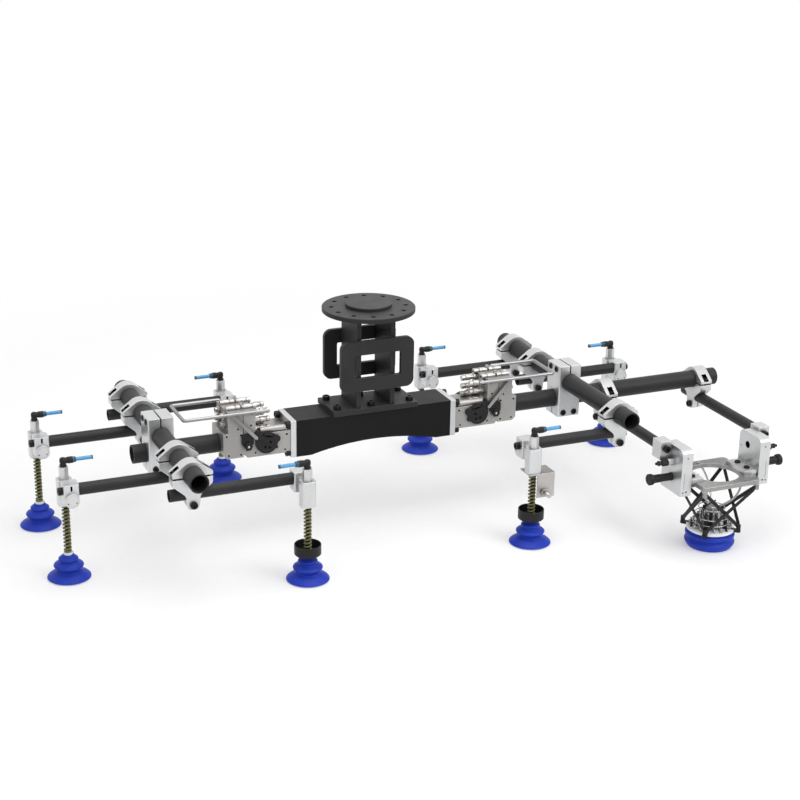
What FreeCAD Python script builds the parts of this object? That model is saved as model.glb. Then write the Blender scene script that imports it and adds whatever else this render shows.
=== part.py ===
import FreeCAD, Part
import math
import os

from FreeCAD import Placement, Rotation, Vector

# Vacuum suction end effector, millimetres, +Z up, X along the main tubes, Y across them.
# Heights are counted from the axis of the main tubes. The finished solids are lowered
# by flange_height, so that the origin lies on the mating face of the robot flange.

# Fits and clearances
slide_fit = 0.05
fixed_fit = 0.03
seat_gap = 0.3

# Robot flange and tower
flange_height = 265.0
flange_radius = 100.0
flange_thickness = 10.0
flange_bolt_circle = 160.0
flange_bolt_count = 12
flange_hole_radius = 5.5
centring_radius = 50.0
centring_height = 8.0
edge_bevel = 1.0
leg_spacing = 78.0
leg_thickness = 10.0
leg_width = 90.0
frame_thickness = 10.0
frame_half_width = 83.6
frame_bottom = 94.0
frame_top = 205.5
frame_corner = 17.0
window_half_width = 54.0
window_bottom = 123.0
window_top = 175.0
window_corner = 3.0

# Base plate and centre beam
base_half_length = 97.0
base_half_width = 50.0
base_thickness = 11.3
beam_half_length = 180.0
beam_half_width = 41.5
beam_top = 41.7
beam_bottom = -40.0
beam_wall = 9.0
beam_arch_rise = 17.5
beam_foot_length = 35.0
end_plate_thickness = 12.0

# Socket head screws: shank radius, head radius, head height
screw_m6 = (3.0, 5.0, 6.0)
screw_m8 = (4.0, 6.5, 8.0)
screw_m10 = (5.0, 8.0, 10.0)
thread_play = 0.03
hole_play = 0.4
base_screw_columns = (-84.0, -6.0, 84.0)
base_screw_row = 33.0
base_screw_sink = 1.0
end_screw_y = 34.0
end_screw_heights = (-30.0, 33.0)
end_screw_grip = 6.0

# Tubes
large_tube_radius = 20.0
large_tube_wall = 3.0
small_tube_radius = 12.5
small_tube_wall = 2.0
tube_spacing = 42.0
main_tube_left_end = 527.5
main_tube_right_end = 882.5
cross_left_x = -471.0
cross_right_x = 482.0
cross_front_y = -300.0
cross_back_left_y = 290.0
cross_back_right_y = 300.0

# Cross blocks between main tube and cross tube
block_half_length = 27.5
block_half_width = 29.0
block_bottom = -38.0
block_top = 81.0
block_corner = 3.0
block_slit = 3.0
block_bolt_height = 72.0
block_bolt_y = 13.0
block_lower_bolt_height = -29.0
block_lower_bolt_x = 13.5
bolt_sink = 6.0

# Ring clamps: cap above, jaw below, small tube under the jaw
clamp_length = 29.0
clamp_ring_radius = 28.5
clamp_half_span = 41.0
clamp_split_top = -2.0
clamp_split_bottom = -6.0
clamp_shoulder_top = 5.0
clamp_shoulder_bottom = -14.0
clamp_neck_half = 20.0
clamp_neck_start = -28.0
clamp_bottom = -67.0
clamp_bolt_offset = 33.5
clamp_pocket_floor = 3.0
clamp_pocket_half = 6.5
clamp_pocket_reach = 25.0
lug_slit = 2.5
lug_bolt_height = -61.0
lug_bolt_offset = 11.0

# Cup units: position of the plunger, height of the tube that carries it
arm_reach_left = 221.0
arm_reach_inner_left = 227.0
arm_reach_right = 223.0
holder_half_length = 18.0
holder_outer = 13.0
holder_corner = 3.0
holder_top = 16.0
holder_bottom = -25.0
holder_wall = 4.0
holder_slit_bottom = 3.0
holder_slit_half = 1.6
swivel_radius = 15.0
swivel_height = -16.0
swivel_proud = 5.0
barrel_half_x = 15.0
barrel_half_y = 12.5
barrel_corner = 5.0
barrel_top = 9.0
barrel_bottom = -46.0
barrel_bore = 7.5
bolt_large = (5.0, 8.0, 9.0)
bolt_large_length = 8.0
swivel_x = 2.5
bush_hex_height = 26.0
bush_flat_width = 17.5
rod_radius = 5.0
vacuum_bore = 2.0
elbow_bottom_gap = 0.4
elbow_body_radius = 6.5
elbow_body_height = 17.0
elbow_barrel_height = 11.5
elbow_barrel_radius = 6.5
elbow_barrel_length = 22.0
elbow_seat_depth = 5.0
hose_radius = 4.0
hose_reach = 60.0
hose_wall = 1.25
spring_outer = 7.0
spring_inner = 5.6
collar_radius = 9.0
collar_thickness = 5.0
nipple_radius = 6.0
nipple_length = 7.0

# Bellows cups
lip_height = -204.7
cup_height = 49.0
cup_lip_radius = 44.4
cup_middle_radius = 31.0
cup_upper_radius = 20.5
cup_top_radius = 13.0
cup_neck_radius = 17.0
cup_wall = 2.4
guard_ring_radius = 27.5
guard_ring_wall = 2.0
guard_ring_height = 22.0

# Sensor bracket under one cup unit
sensor_sheet = 2.5
sensor_left = 4.5
sensor_right = 44.5
sensor_front = 12.5
sensor_depth = 40.0
sensor_drop = 54.0
sensor_radius = 4.5
sensor_length = 14.0

# Quick-change couplers, counted from the end of the beam
coupler_start = beam_half_length + end_plate_thickness
coupler_end = coupler_start + 105.0
coupler_half_width = 40.0
coupler_bottom = -27.0
coupler_top = 23.0
coupler_bevel = 8.5
air_block_start = coupler_end - 27.0
air_block_height = 78.5
air_tool_end = coupler_end + 33.0
manifold_start = coupler_start + 8.0
manifold_end = coupler_start + 67.0
manifold_radius = 6.5
manifold_y = -33.4
manifold_height = 29.0
spigot_radius = 16.0
spigot_length = 12.0
tool_end = coupler_end + 44.0
tool_top = 32.0
tool_bottom = -24.5
tool_bevel = 8.0
tube_stop = coupler_end + 17.0
air_coupling_radius = 6.5
air_coupling_length = 37.0
air_coupling_wall = 3.0
air_channel_radius = 4.5
air_coupling_y = 20.0
air_coupling_rows = (29.5, 48.0, 67.0)
knob_x = coupler_end - 8.5
knob_height = 0.5
knob_radius = 7.5
knob_length = 12.0

# Cams and wire handles, counted from the axis of the cams
cam_x = coupler_start + 49.0
cam_height = -1.0
cam_radius = 19.5
cam_gap = 0.6
cam_thickness = 4.5
cam_shaft_radius = 8.0
cam_cap_radius = 5.0
cam_cap_length = 2.0
cam_lobe_x = 41.7
cam_lobe_height = 23.0
cam_lobe_radius = 13.0
cam_finger_x = -22.5
cam_finger_height = 11.0
cam_finger_radius = 7.5
cam_notch_x = -10.0
cam_notch_height = 19.0
cam_notch_radius = 5.5
link_foot_x = 30.0
link_foot_height = 18.8
handle_radius = 3.75
handle_y = 49.0
handle_height = 77.0
handle_crossbar_x = cam_x + 187.0
handle_near_x = cam_x + 4.0
handle_far_x = cam_x + 81.0
handle_hook_x = cam_x + 67.0
handle_hook_height = 64.0
handle_bend = 6.0
link_top_x = cam_x + 82.5
link_width = 7.0
link_thickness = 3.5

# Large head under the right-hand arm tubes
head_x = 713.0
arm_half_spacing = 125.8
arm_left_x = head_x - arm_half_spacing
arm_right_x = head_x + arm_half_spacing
arm_back_y = 45.0
head_y = -285.0
bracket_inner = 86.0
bracket_thickness = 26.0
bracket_half_width = 40.0
bracket_top = -33.0
bracket_bottom = -140.0
bracket_corner = 14.0
foot_top = -105.0
foot_thickness = 8.0
foot_start = 53.0
foot_screw_x = 70.0
foot_screw_y = 17.5
ring_inner = 54.0
ring_half = 72.0
ring_corner = 10.0
ring_tab_x = 84.0
ring_tab_half = 36.0
ring_thickness = 10.0
head_clamp_y = 24.0
head_clamp_length = 32.0
head_clamp_half = 13.7
platform_height = -246.0
platform_thickness = 6.0
platform_radius = 50.0
post_radius = 5.0
post_height = 14.0
upper_post = 66.0
lower_post = 44.0
lug_width = 14.0
lug_margin = 2.0
strut_width = 8.0
strut_thickness = 2.5
strut_layer = 1.6
nozzle_height = 42.0
nozzle_base_radius = 17.0
nozzle_top_radius = 9.0
head_cup_radius = 55.5
head_cup_waist = 47.0
head_lip_height = -284.5
plunger_height = -106.0
plunger_barrel_radius = 8.5
plunger_barrel_length = 36.0
plunger_pin_radius = 4.0
plunger_knob_radius = 13.0
plunger_knob_length = 9.0
plunger_pin_proud = 2.0

X = Vector(1, 0, 0)
Y = Vector(0, 1, 0)
Z = Vector(0, 0, 1)

small_tube_height = 0.0
guide_top = barrel_top + bush_hex_height
elbow_start = guide_top + elbow_bottom_gap
rod_top = elbow_start + elbow_seat_depth
cup_top = lip_height + cup_height
collar_top = cup_top + collar_thickness


def point(x, y, z):
    return Vector(x, y, z)


def block(x0, x1, y0, y1, z0, z1):
    low = point(min(x0, x1), min(y0, y1), min(z0, z1))
    return Part.makeBox(abs(x1 - x0), abs(y1 - y0), abs(z1 - z0), low)


def pin(radius, start, end):
    axis = end - start
    return Part.makeCylinder(radius, axis.Length, start, axis)


def pipe(outer, inner, start, end):
    return pin(outer, start, end).cut(pin(inner, start, end))


def moved(shape, x=0.0, y=0.0, z=0.0):
    copy = shape.copy()
    copy.translate(point(x, y, z))
    return copy


def turned(shape, axis, degrees):
    copy = shape.copy()
    copy.rotate(point(0, 0, 0), axis, degrees)
    return copy


def mirrored(shape):
    return shape.mirror(point(0, 0, 0), X)


def prism(points, direction):
    corners = [Vector(p) for p in points]
    return Part.Face(Part.makePolygon(corners + corners[:1])).extrude(direction)


def revolved(profile, x=0.0, y=0.0):
    """Solid of revolution about the vertical line through (x, y)."""
    corners = [point(radius, 0, height) for radius, height in profile]
    face = Part.Face(Part.makePolygon(corners + corners[:1]))
    return moved(face.revolve(point(0, 0, 0), Z, 360), x, y)


def rounded_plate(half_width, bottom, top, corner, y0, y1):
    plate = block(-half_width, half_width, y0, y1, bottom, top)
    upright = [e for e in plate.Edges if abs(e.tangentAt(e.FirstParameter).y) > 0.99]
    return plate.makeFillet(corner, upright)


def cap_screw(size, length):
    """Socket head screw with its head on the plane z = 0 and the shank below."""
    shank, head, height = size
    return pin(head, point(0, 0, 0), Z * height).fuse(pin(shank, Z * -length, point(0, 0, 0)))


def aimed(shape, place, direction):
    copy = shape.copy()
    copy.Placement = Placement(place, Rotation(Z, direction))
    return copy


def bent_rod(points, bend, radius):
    """Round rod along straight runs joined by tangent arcs."""
    corners = [Vector(p) for p in points]
    edges = []
    start = corners[0]
    for before, corner, after in zip(corners, corners[1:], corners[2:]):
        back = (before - corner).normalize()
        ahead = (after - corner).normalize()
        half = back.getAngle(ahead) / 2
        reach = bend / math.tan(half)
        middle = (back + ahead).normalize()
        centre = corner + middle * (bend / math.sin(half))
        edges.append(Part.LineSegment(start, corner + back * reach).toShape())
        arc = Part.Arc(corner + back * reach, centre - middle * bend, corner + ahead * reach)
        edges.append(arc.toShape())
        start = corner + ahead * reach
    edges.append(Part.LineSegment(start, corners[-1]).toShape())
    path = Part.Wire(edges)
    outline = Part.Wire(Part.makeCircle(radius, corners[0], corners[1] - corners[0]))
    return path.makePipeShell([outline], True, False)


# Robot flange, tower, base plate and centre beam

def robot_flange():
    top = flange_height
    disc = Part.makeCylinder(flange_radius, flange_thickness, point(0, 0, top - flange_thickness))
    boss = Part.makeCylinder(centring_radius, centring_height, point(0, 0, top))
    plate = disc.fuse(boss)
    rims = [e for e in plate.Edges if abs(e.Length - 2 * math.pi * flange_radius) < 0.1]
    rims += [e for e in plate.Edges if abs(e.BoundBox.ZMin - top - centring_height) < 0.01]
    plate = plate.makeChamfer(edge_bevel, rims)
    for step in range(flange_bolt_count):
        angle = 2 * math.pi * (step + 0.5) / flange_bolt_count
        x = flange_bolt_circle / 2 * math.cos(angle)
        y = flange_bolt_circle / 2 * math.sin(angle)
        hole = Part.makeCylinder(flange_hole_radius, flange_thickness, point(x, y, top - flange_thickness))
        plate = plate.cut(hole)
    return plate


base_top = beam_top + base_thickness


def tower_leg(side):
    inner = leg_spacing / 2 - leg_thickness / 2
    top = flange_height - flange_thickness
    return block(side * inner, side * (inner + leg_thickness), -leg_width / 2, leg_width / 2, base_top, top)


def tower_frame(side):
    near = side * leg_width / 2
    far = side * (leg_width / 2 + frame_thickness)
    y0, y1 = min(near, far), max(near, far)
    plate = rounded_plate(frame_half_width, frame_bottom, frame_top, frame_corner, y0, y1)
    window = rounded_plate(window_half_width, window_bottom, window_top, window_corner, y0 - 1, y1 + 1)
    return plate.cut(window)


def base_screw_places():
    seat = base_top - base_screw_sink
    return [point(x, y, seat) for x in base_screw_columns for y in (-base_screw_row, base_screw_row)]


def base_plate():
    plate = block(-base_half_length, base_half_length, -base_half_width, base_half_width, beam_top, base_top)
    shank, head, _ = screw_m10
    for place in base_screw_places():
        plate = plate.cut(pin(head + hole_play, place, place + Z * base_thickness))
        plate = plate.cut(pin(shank + hole_play, place - Z * base_thickness, place))
    return plate


base_screw_length = base_thickness - base_screw_sink + beam_wall - 2


def beam_side(half_length, top, bottom, rise, foot):
    """Side view of the beam: straight top, flat feet and an arched underside."""
    foot_x = half_length - foot
    corners = [(-foot_x, bottom), (-half_length, bottom), (-half_length, top), (half_length, top),
               (half_length, bottom), (foot_x, bottom)]
    line = Part.makePolygon([point(x, 0, z) for x, z in corners])
    arch = Part.Arc(point(foot_x, 0, bottom), point(0, 0, bottom + rise), point(-foot_x, 0, bottom))
    return Part.Face(Part.Wire(line.Edges + [arch.toShape()]))


def center_beam():
    outer = beam_side(beam_half_length, beam_top, beam_bottom, beam_arch_rise, beam_foot_length)
    hollow = beam_side(beam_half_length, beam_top - beam_wall, beam_bottom + beam_wall, beam_arch_rise,
                       beam_foot_length)
    inner_half = beam_half_width - beam_wall
    beam = moved(outer.extrude(Y * 2 * beam_half_width), y=-beam_half_width)
    beam = beam.cut(moved(hollow.extrude(Y * 2 * inner_half), y=-inner_half))
    for place in base_screw_places():
        beam = beam.cut(pin(screw_m10[0] + thread_play, place - Z * (base_screw_length + 1), place))
    for side in (-1, 1):
        for place in end_screw_places(side):
            tip = point(side * (beam_half_length - end_screw_grip - 1), place.y, place.z)
            beam = beam.cut(pin(screw_m10[0] + thread_play, tip, place))
    return beam


def end_screw_places(side):
    x = side * (beam_half_length + end_plate_thickness)
    return [point(x, y, z) for y in (-end_screw_y, end_screw_y) for z in end_screw_heights]


def end_plate(side):
    x0 = side * beam_half_length
    x1 = side * (beam_half_length + end_plate_thickness)
    plate = block(x0, x1, -beam_half_width, beam_half_width, beam_bottom, beam_top)
    for place in end_screw_places(side):
        plate = plate.cut(pin(screw_m10[0] + hole_play, place - X * side * end_plate_thickness, place))
    return plate


def frame_screws():
    screws = [aimed(cap_screw(screw_m10, base_screw_length), place, Z) for place in base_screw_places()]
    for side in (-1, 1):
        screw = cap_screw(screw_m10, end_plate_thickness + end_screw_grip)
        screws += [aimed(screw, place, X * side) for place in end_screw_places(side)]
    return screws


# Quick-change couplers, built on the +X side and mirrored for the other

def coupler_body():
    shaft = pin(cam_shaft_radius + slide_fit, point(cam_x, -coupler_half_width, cam_height),
                point(cam_x, coupler_half_width, cam_height))
    corners = [(coupler_start, coupler_bottom), (coupler_end - coupler_bevel, coupler_bottom),
               (coupler_end, coupler_bottom + coupler_bevel), (coupler_end, coupler_top),
               (coupler_start, coupler_top)]
    body = prism([point(x, -coupler_half_width, z) for x, z in corners], Y * 2 * coupler_half_width)
    body = body.fuse(block(air_block_start, coupler_end, -coupler_half_width, coupler_half_width,
                           coupler_top, air_block_height))
    body = body.fuse(pin(manifold_radius, point(manifold_start, manifold_y, manifold_height),
                         point(manifold_end, manifold_y, manifold_height)))
    body = body.fuse(pin(spigot_radius, point(coupler_end, 0, 0), point(coupler_end + spigot_length, 0, 0)))
    body = body.cut(shaft)
    for place in end_screw_places(1):
        body = body.cut(pin(screw_m10[1] + hole_play, place, place + X * (screw_m10[2] + hole_play)))
    for y in (-air_coupling_y, air_coupling_y):
        for z in air_coupling_rows:
            body = body.cut(pin(air_channel_radius, point(air_block_start, y, z), point(coupler_end, y, z)))
    return body.removeSplitter()


def coupler_tool_half():
    """Block that takes the tube, with the air block above it and the body's spigot in its back."""
    face = coupler_end + seat_gap
    corners = [(face, tool_bottom), (tool_end - tool_bevel, tool_bottom), (tool_end, tool_bottom + tool_bevel),
               (tool_end, tool_top), (face, tool_top)]
    lower = prism([point(x, -coupler_half_width, z) for x, z in corners], Y * 2 * coupler_half_width)
    air = block(face, air_tool_end, -coupler_half_width, coupler_half_width, tool_top, air_block_height)
    half = lower.fuse(air)
    half = half.cut(pin(large_tube_radius + fixed_fit, point(tube_stop, 0, 0), point(tool_end + 1, 0, 0)))
    half = half.cut(pin(spigot_radius + seat_gap, point(coupler_end, 0, 0), point(tube_stop, 0, 0)))
    for y in (-air_coupling_y, air_coupling_y):
        for z in air_coupling_rows[1:]:
            half = half.cut(pin(air_channel_radius, point(coupler_end, y, z), point(air_tool_end + 1, y, z)))
    return half.removeSplitter()


def air_couplings():
    fittings = []
    for y in (-air_coupling_y, air_coupling_y):
        for z in air_coupling_rows:
            tip = point(air_block_start - air_coupling_length, y, z)
            seat = point(air_block_start, y, z)
            fittings.append(pipe(air_coupling_radius, air_coupling_radius - air_coupling_wall, tip, seat))
    return fittings


def latch_knob():
    start = point(knob_x, -coupler_half_width - cam_gap, knob_height)
    return pin(knob_radius, start, start - Y * knob_length)


def cam_outline():
    """Disc with a lobe for the link, and a finger with a notch behind it."""
    y = -coupler_half_width - cam_gap
    depth = Y * -cam_thickness
    centre = point(cam_x, y, cam_height)
    lobe_at = centre + point(cam_lobe_x, 0, cam_lobe_height)
    finger_at = centre + point(cam_finger_x, 0, cam_finger_height)
    notch_at = centre + point(cam_notch_x, 0, cam_notch_height)
    plate = pin(cam_radius, centre, centre + depth)
    plate = plate.fuse(pin(cam_lobe_radius, lobe_at, lobe_at + depth))
    plate = plate.fuse(web(centre, cam_radius - 1, lobe_at, cam_lobe_radius - 1, depth))
    plate = plate.fuse(pin(cam_finger_radius, finger_at, finger_at + depth))
    plate = plate.fuse(web(centre, cam_radius - 1, finger_at, cam_finger_radius - 1, depth))
    return plate.cut(pin(cam_notch_radius, notch_at, notch_at + depth)).removeSplitter()


def web(start, start_half, end, end_half, depth):
    """Flat web between two round ends, as wide as each of them."""
    along = (end - start).normalize()
    across = Vector(-along.z, 0, along.x)
    return prism([start - across * start_half, end - across * end_half, end + across * end_half,
                  start + across * start_half], depth)


def cams():
    front = cam_outline()
    y = -coupler_half_width - cam_gap
    centre = point(cam_x, 0, cam_height)
    cap = pin(cam_cap_radius, centre + Y * (y - cam_thickness), centre + Y * (y - cam_thickness - cam_cap_length))
    shaft = pin(cam_shaft_radius, centre + Y * (y - cam_thickness), centre - Y * y)
    rear = front.mirror(point(0, 0, 0), Y)
    return [front.fuse(cap).fuse(shaft).removeSplitter(), rear]


def handle():
    """Bent wire handle with a flat link bar welded under each arm."""
    route = [point(handle_near_x, -handle_y, handle_height), point(handle_crossbar_x, -handle_y, handle_height),
             point(handle_crossbar_x, handle_y, handle_height), point(handle_far_x, handle_y, handle_height),
             point(handle_hook_x, handle_y, handle_hook_height)]
    wire = bent_rod(route, handle_bend, handle_radius)
    low = point(cam_x + link_foot_x, 0, cam_height + link_foot_height)
    high = point(link_top_x, 0, handle_height - handle_radius / 2)
    start = coupler_half_width + cam_gap + cam_thickness + slide_fit
    bars = []
    for side in (-1, 1):
        shift = Y * side * start
        bar = web(low + shift, link_width / 2, high + shift, link_width / 2, Y * side * link_thickness)
        eye = pin(link_width / 2, low + shift, low + shift + Y * side * link_thickness)
        bars.append(bar.fuse(eye))
    return wire.fuse(bars[0]).fuse(bars[1]).removeSplitter()


# Tubes

def large_tube(start, end):
    return pipe(large_tube_radius, large_tube_radius - large_tube_wall, start, end)


def small_tube(start, end):
    return pipe(small_tube_radius, small_tube_radius - small_tube_wall, start, end)


def main_tubes():
    left = large_tube(point(-main_tube_left_end, 0, 0), point(-tube_stop, 0, 0))
    right = large_tube(point(tube_stop, 0, 0), point(main_tube_right_end, 0, 0))
    return [left, right]


def cross_tubes():
    left = large_tube(point(cross_left_x, cross_front_y, tube_spacing),
                      point(cross_left_x, cross_back_left_y, tube_spacing))
    right = large_tube(point(cross_right_x, cross_front_y, tube_spacing),
                       point(cross_right_x, cross_back_right_y, tube_spacing))
    return [left, right]


# Cup units: name, cross tube, tube y, side of the plunger in x, side of the plunger in y, tube stub
units = {
    "a": (cross_right_x, 251.0, -arm_reach_right, 1, 18.0),
    "b": (cross_right_x, 135.0, arm_reach_right, 1, 48.0),
    "c": (cross_right_x, -243.0, -arm_reach_right, -1, 18.0),
    "d": (cross_left_x, 135.0, -arm_reach_left, 1, 46.0),
    "e": (cross_left_x, -142.0, -arm_reach_left, 1, 46.0),
    "f": (cross_left_x, -241.0, arm_reach_inner_left, -1, 46.0),
    "g": (cross_left_x, 246.0, arm_reach_inner_left, 1, 46.0),
}


def plunger_place(unit):
    cross_x, tube_y, reach, side, _ = unit
    return cross_x + reach, tube_y + side * tube_spacing


def small_tubes():
    tubes = []
    for cross_x, tube_y, reach, _, stub in units.values():
        outward = math.copysign(1, reach)
        holder_end = cross_x + reach
        tubes.append(small_tube(point(holder_end, tube_y, small_tube_height),
                                point(cross_x - outward * stub, tube_y, small_tube_height)))
    for x in (arm_left_x, arm_right_x):
        tubes.append(small_tube(point(x, head_y + head_clamp_y, -tube_spacing), point(x, arm_back_y, -tube_spacing)))
    return tubes


# Cross blocks

def cross_block():
    body = block(-block_half_length, block_half_length, -block_half_width, block_half_width,
                 block_bottom, block_top)
    upright = [e for e in body.Edges if abs(e.tangentAt(e.FirstParameter).z) > 0.99]
    body = body.makeFillet(block_corner, upright)
    reach = block_half_width + 1
    body = body.cut(pin(large_tube_radius + fixed_fit, X * -reach, X * reach))
    body = body.cut(pin(large_tube_radius + fixed_fit, point(0, -reach, tube_spacing), point(0, reach, tube_spacing)))
    body = body.cut(block(-block_slit / 2, block_slit / 2, -reach, reach, tube_spacing, block_top + 1))
    body = body.cut(block(-reach, reach, -block_slit / 2, block_slit / 2, block_bottom - 1, 0))
    for place, axis in cross_block_screws():
        body = body.cut(pin(screw_m8[1] + hole_play, place, place + axis * (bolt_sink + 1)))
        body = body.cut(pin(screw_m8[0] + thread_play, place - axis * (block_bolt_length + 1), place))
    return body


block_bolt_length = 36.0


def cross_block_screws():
    upper_x = -block_half_length + bolt_sink
    front_y = -block_half_width + bolt_sink
    screws = [(point(upper_x, y, block_bolt_height), X * -1) for y in (-block_bolt_y, block_bolt_y)]
    for x in (-block_lower_bolt_x, block_lower_bolt_x):
        screws.append((point(x, front_y, block_lower_bolt_height), Y * -1))
    return screws


# Ring clamps, built with the large tube along Y and the small tube along X

def clamp_cap():
    distance = math.hypot(clamp_half_span, clamp_shoulder_top)
    turn = math.acos(clamp_ring_radius / distance) + math.atan2(clamp_shoulder_top, clamp_half_span)
    touch = point(clamp_ring_radius * math.cos(turn), 0, clamp_ring_radius * math.sin(turn))
    left_touch = point(-touch.x, 0, touch.z)
    base = [left_touch, point(-clamp_half_span, 0, clamp_shoulder_top), point(-clamp_half_span, 0, clamp_split_top),
            point(clamp_half_span, 0, clamp_split_top), point(clamp_half_span, 0, clamp_shoulder_top), touch]
    crown = Part.Arc(touch, point(0, 0, clamp_ring_radius), left_touch).toShape()
    face = Part.Face(Part.Wire(Part.makePolygon(base).Edges + [crown]))
    cap = moved(face.extrude(Y * clamp_length), y=-clamp_length / 2)
    cap = cap.cut(pin(large_tube_radius + fixed_fit, Y * -clamp_length, Y * clamp_length))
    for side in (-1, 1):
        cap = cap.cut(block(side * clamp_pocket_reach, side * (clamp_half_span + 1), -clamp_pocket_half,
                            clamp_pocket_half, clamp_pocket_floor, clamp_ring_radius))
        x = side * clamp_bolt_offset
        cap = cap.cut(pin(screw_m6[0] + hole_play, point(x, 0, clamp_split_top), point(x, 0, clamp_pocket_floor)))
    return cap


clamp_bolt_length = 15.0


def clamp_jaw():
    corners = [(clamp_half_span, clamp_split_bottom), (clamp_half_span, clamp_shoulder_bottom),
               (clamp_neck_half, clamp_neck_start), (clamp_neck_half, clamp_bottom)]
    outline = corners + [(-x, z) for x, z in reversed(corners)]
    jaw = prism([point(x, -clamp_length / 2, z) for x, z in outline], Y * clamp_length)
    jaw = jaw.cut(pin(large_tube_radius + fixed_fit, Y * -clamp_length, Y * clamp_length))
    reach = clamp_neck_half + 1
    jaw = jaw.cut(pin(small_tube_radius + fixed_fit, point(-reach, 0, -tube_spacing), point(reach, 0, -tube_spacing)))
    jaw = jaw.cut(block(-reach, reach, -lug_slit / 2, lug_slit / 2, clamp_bottom - 1, -tube_spacing))
    for side in (-1, 1):
        x = side * clamp_bolt_offset
        tip = clamp_pocket_floor - clamp_bolt_length - 1
        jaw = jaw.cut(pin(screw_m6[0] + thread_play, point(x, 0, tip), point(x, 0, clamp_split_bottom)))
    for x in (-lug_bolt_offset, lug_bolt_offset):
        front = point(x, -clamp_length / 2, lug_bolt_height)
        jaw = jaw.cut(pin(screw_m6[0] + thread_play, front, front + Y * (lug_bolt_length + 1)))
    return jaw


lug_bolt_length = 22.0


def clamp_screws():
    screws = [aimed(cap_screw(screw_m6, clamp_bolt_length), point(side * clamp_bolt_offset, 0, clamp_pocket_floor), Z)
              for side in (-1, 1)]
    for x in (-lug_bolt_offset, lug_bolt_offset):
        place = point(x, -clamp_length / 2, lug_bolt_height)
        screws.append(aimed(cap_screw(screw_m6, lug_bolt_length), place, Y * -1))
    return screws


def clamp_places():
    """Where each ring clamp sits: its turn about Z and its centre."""
    places = [(0, point(unit[0], unit[1], tube_spacing)) for unit in units.values()]
    places += [(-90, point(x, 0, 0)) for x in (arm_left_x, arm_right_x)]
    return places


def at_clamps(shapes):
    group = []
    for degrees, place in clamp_places():
        group += [moved(turned(shape, Z, degrees), place.x, place.y, place.z) for shape in shapes]
    return group


def socket_screws():
    screws = frame_screws() + at_clamps(clamp_screws())
    for cross_x in (cross_left_x, cross_right_x):
        for place, axis in cross_block_screws():
            screws.append(moved(aimed(cap_screw(screw_m8, block_bolt_length), place, axis), cross_x))
    for side in (-1, 1):
        for place in foot_screw_places(side):
            screws.append(aimed(cap_screw(screw_m8, foot_screw_length), place, Z))
    for place, axis in head_clamp_bolts():
        screws += both_sides(aimed(cap_screw(bolt_large, bolt_large_length), place, axis))
    return screws


# Cup holders and plungers, built with the plunger at the origin and the tube at y = -tube_spacing

def rounded_block(x0, x1, y0, y1, z0, z1, corner):
    body = block(x0, x1, y0, y1, z0, z1)
    return body.makeFillet(corner, [e for e in body.Edges if abs(e.tangentAt(e.FirstParameter).z) > 0.99])


def cup_holder(outward):
    """Clamp for the end of a small tube, with the block that guides the plunger behind it.

    outward is the direction in x from the plunger towards the cross tube.
    """
    half_width = small_tube_radius + holder_wall - 1
    tube_y = -tube_spacing
    face = tube_y - half_width
    middle = outward * swivel_x
    body = rounded_block(-outward * holder_outer, outward * holder_half_length, face, tube_y + half_width,
                         holder_bottom, holder_top, holder_corner)
    boss = pin(swivel_radius, point(middle, face, swivel_height), point(middle, face - swivel_proud, swivel_height))
    guide = rounded_block(-barrel_half_x, barrel_half_x, -barrel_half_y, barrel_half_y, barrel_bottom, barrel_top,
                          barrel_corner)
    arm = block(-barrel_half_x + barrel_corner, barrel_half_x - barrel_corner, tube_y + half_width - 1, 0,
                holder_bottom + 1, barrel_top - 1)
    body = body.fuse(boss).fuse(arm).fuse(guide)
    body = body.cut(pin(small_tube_radius + fixed_fit, point(0, tube_y, small_tube_height),
                        point(outward * (holder_half_length + 1), tube_y, small_tube_height)))
    body = body.cut(block(middle - holder_slit_half, middle + holder_slit_half, face - 1, tube_y, holder_slit_bottom,
                          holder_top - 3))
    body = body.cut(pin(barrel_bore, Z * barrel_bottom, Z * (barrel_top + 1)))
    body = body.cut(pin(bolt_large[0] + thread_play, point(-outward * holder_outer, tube_y, small_tube_height),
                        point(-outward * (holder_outer - bolt_large_length - 1), tube_y, small_tube_height)))
    return body.removeSplitter()


def holder_screw(outward):
    place = point(-outward * holder_outer, -tube_spacing, small_tube_height)
    return aimed(cap_screw(bolt_large, bolt_large_length), place, X * -outward)


def guide_bush():
    hexagon = [point(bush_flat_width / math.sqrt(3) * math.cos(math.radians(60 * k + 30)),
                     bush_flat_width / math.sqrt(3) * math.sin(math.radians(60 * k + 30)), barrel_top) for k in range(6)]
    head = prism(hexagon, Z * bush_hex_height)
    sleeve = pin(barrel_bore - fixed_fit, Z * barrel_bottom, Z * barrel_top)
    return head.fuse(sleeve).cut(pin(rod_radius + slide_fit, Z * barrel_bottom, Z * (guide_top + 1)))


def plunger_rod():
    """Hollow rod, spring collar and the nipple that the cup is pushed on."""
    profile = [(vacuum_bore, cup_top - nipple_length), (nipple_radius, cup_top - nipple_length), (nipple_radius, cup_top),
               (collar_radius, cup_top), (collar_radius, collar_top - 1), (collar_radius - 1, collar_top),
               (rod_radius, collar_top), (rod_radius, rod_top), (vacuum_bore, rod_top)]
    return revolved(profile)


def guard_ring():
    """Cup-shaped guard on the spring collar, open at the top."""
    bore = rod_radius + fixed_fit
    inner = guard_ring_radius - guard_ring_wall
    top = collar_top + guard_ring_height
    floor = collar_top + guard_ring_wall
    return revolved([(bore, collar_top), (guard_ring_radius, collar_top), (guard_ring_radius, top), (inner, top),
                     (inner, floor), (bore, floor)])


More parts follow.
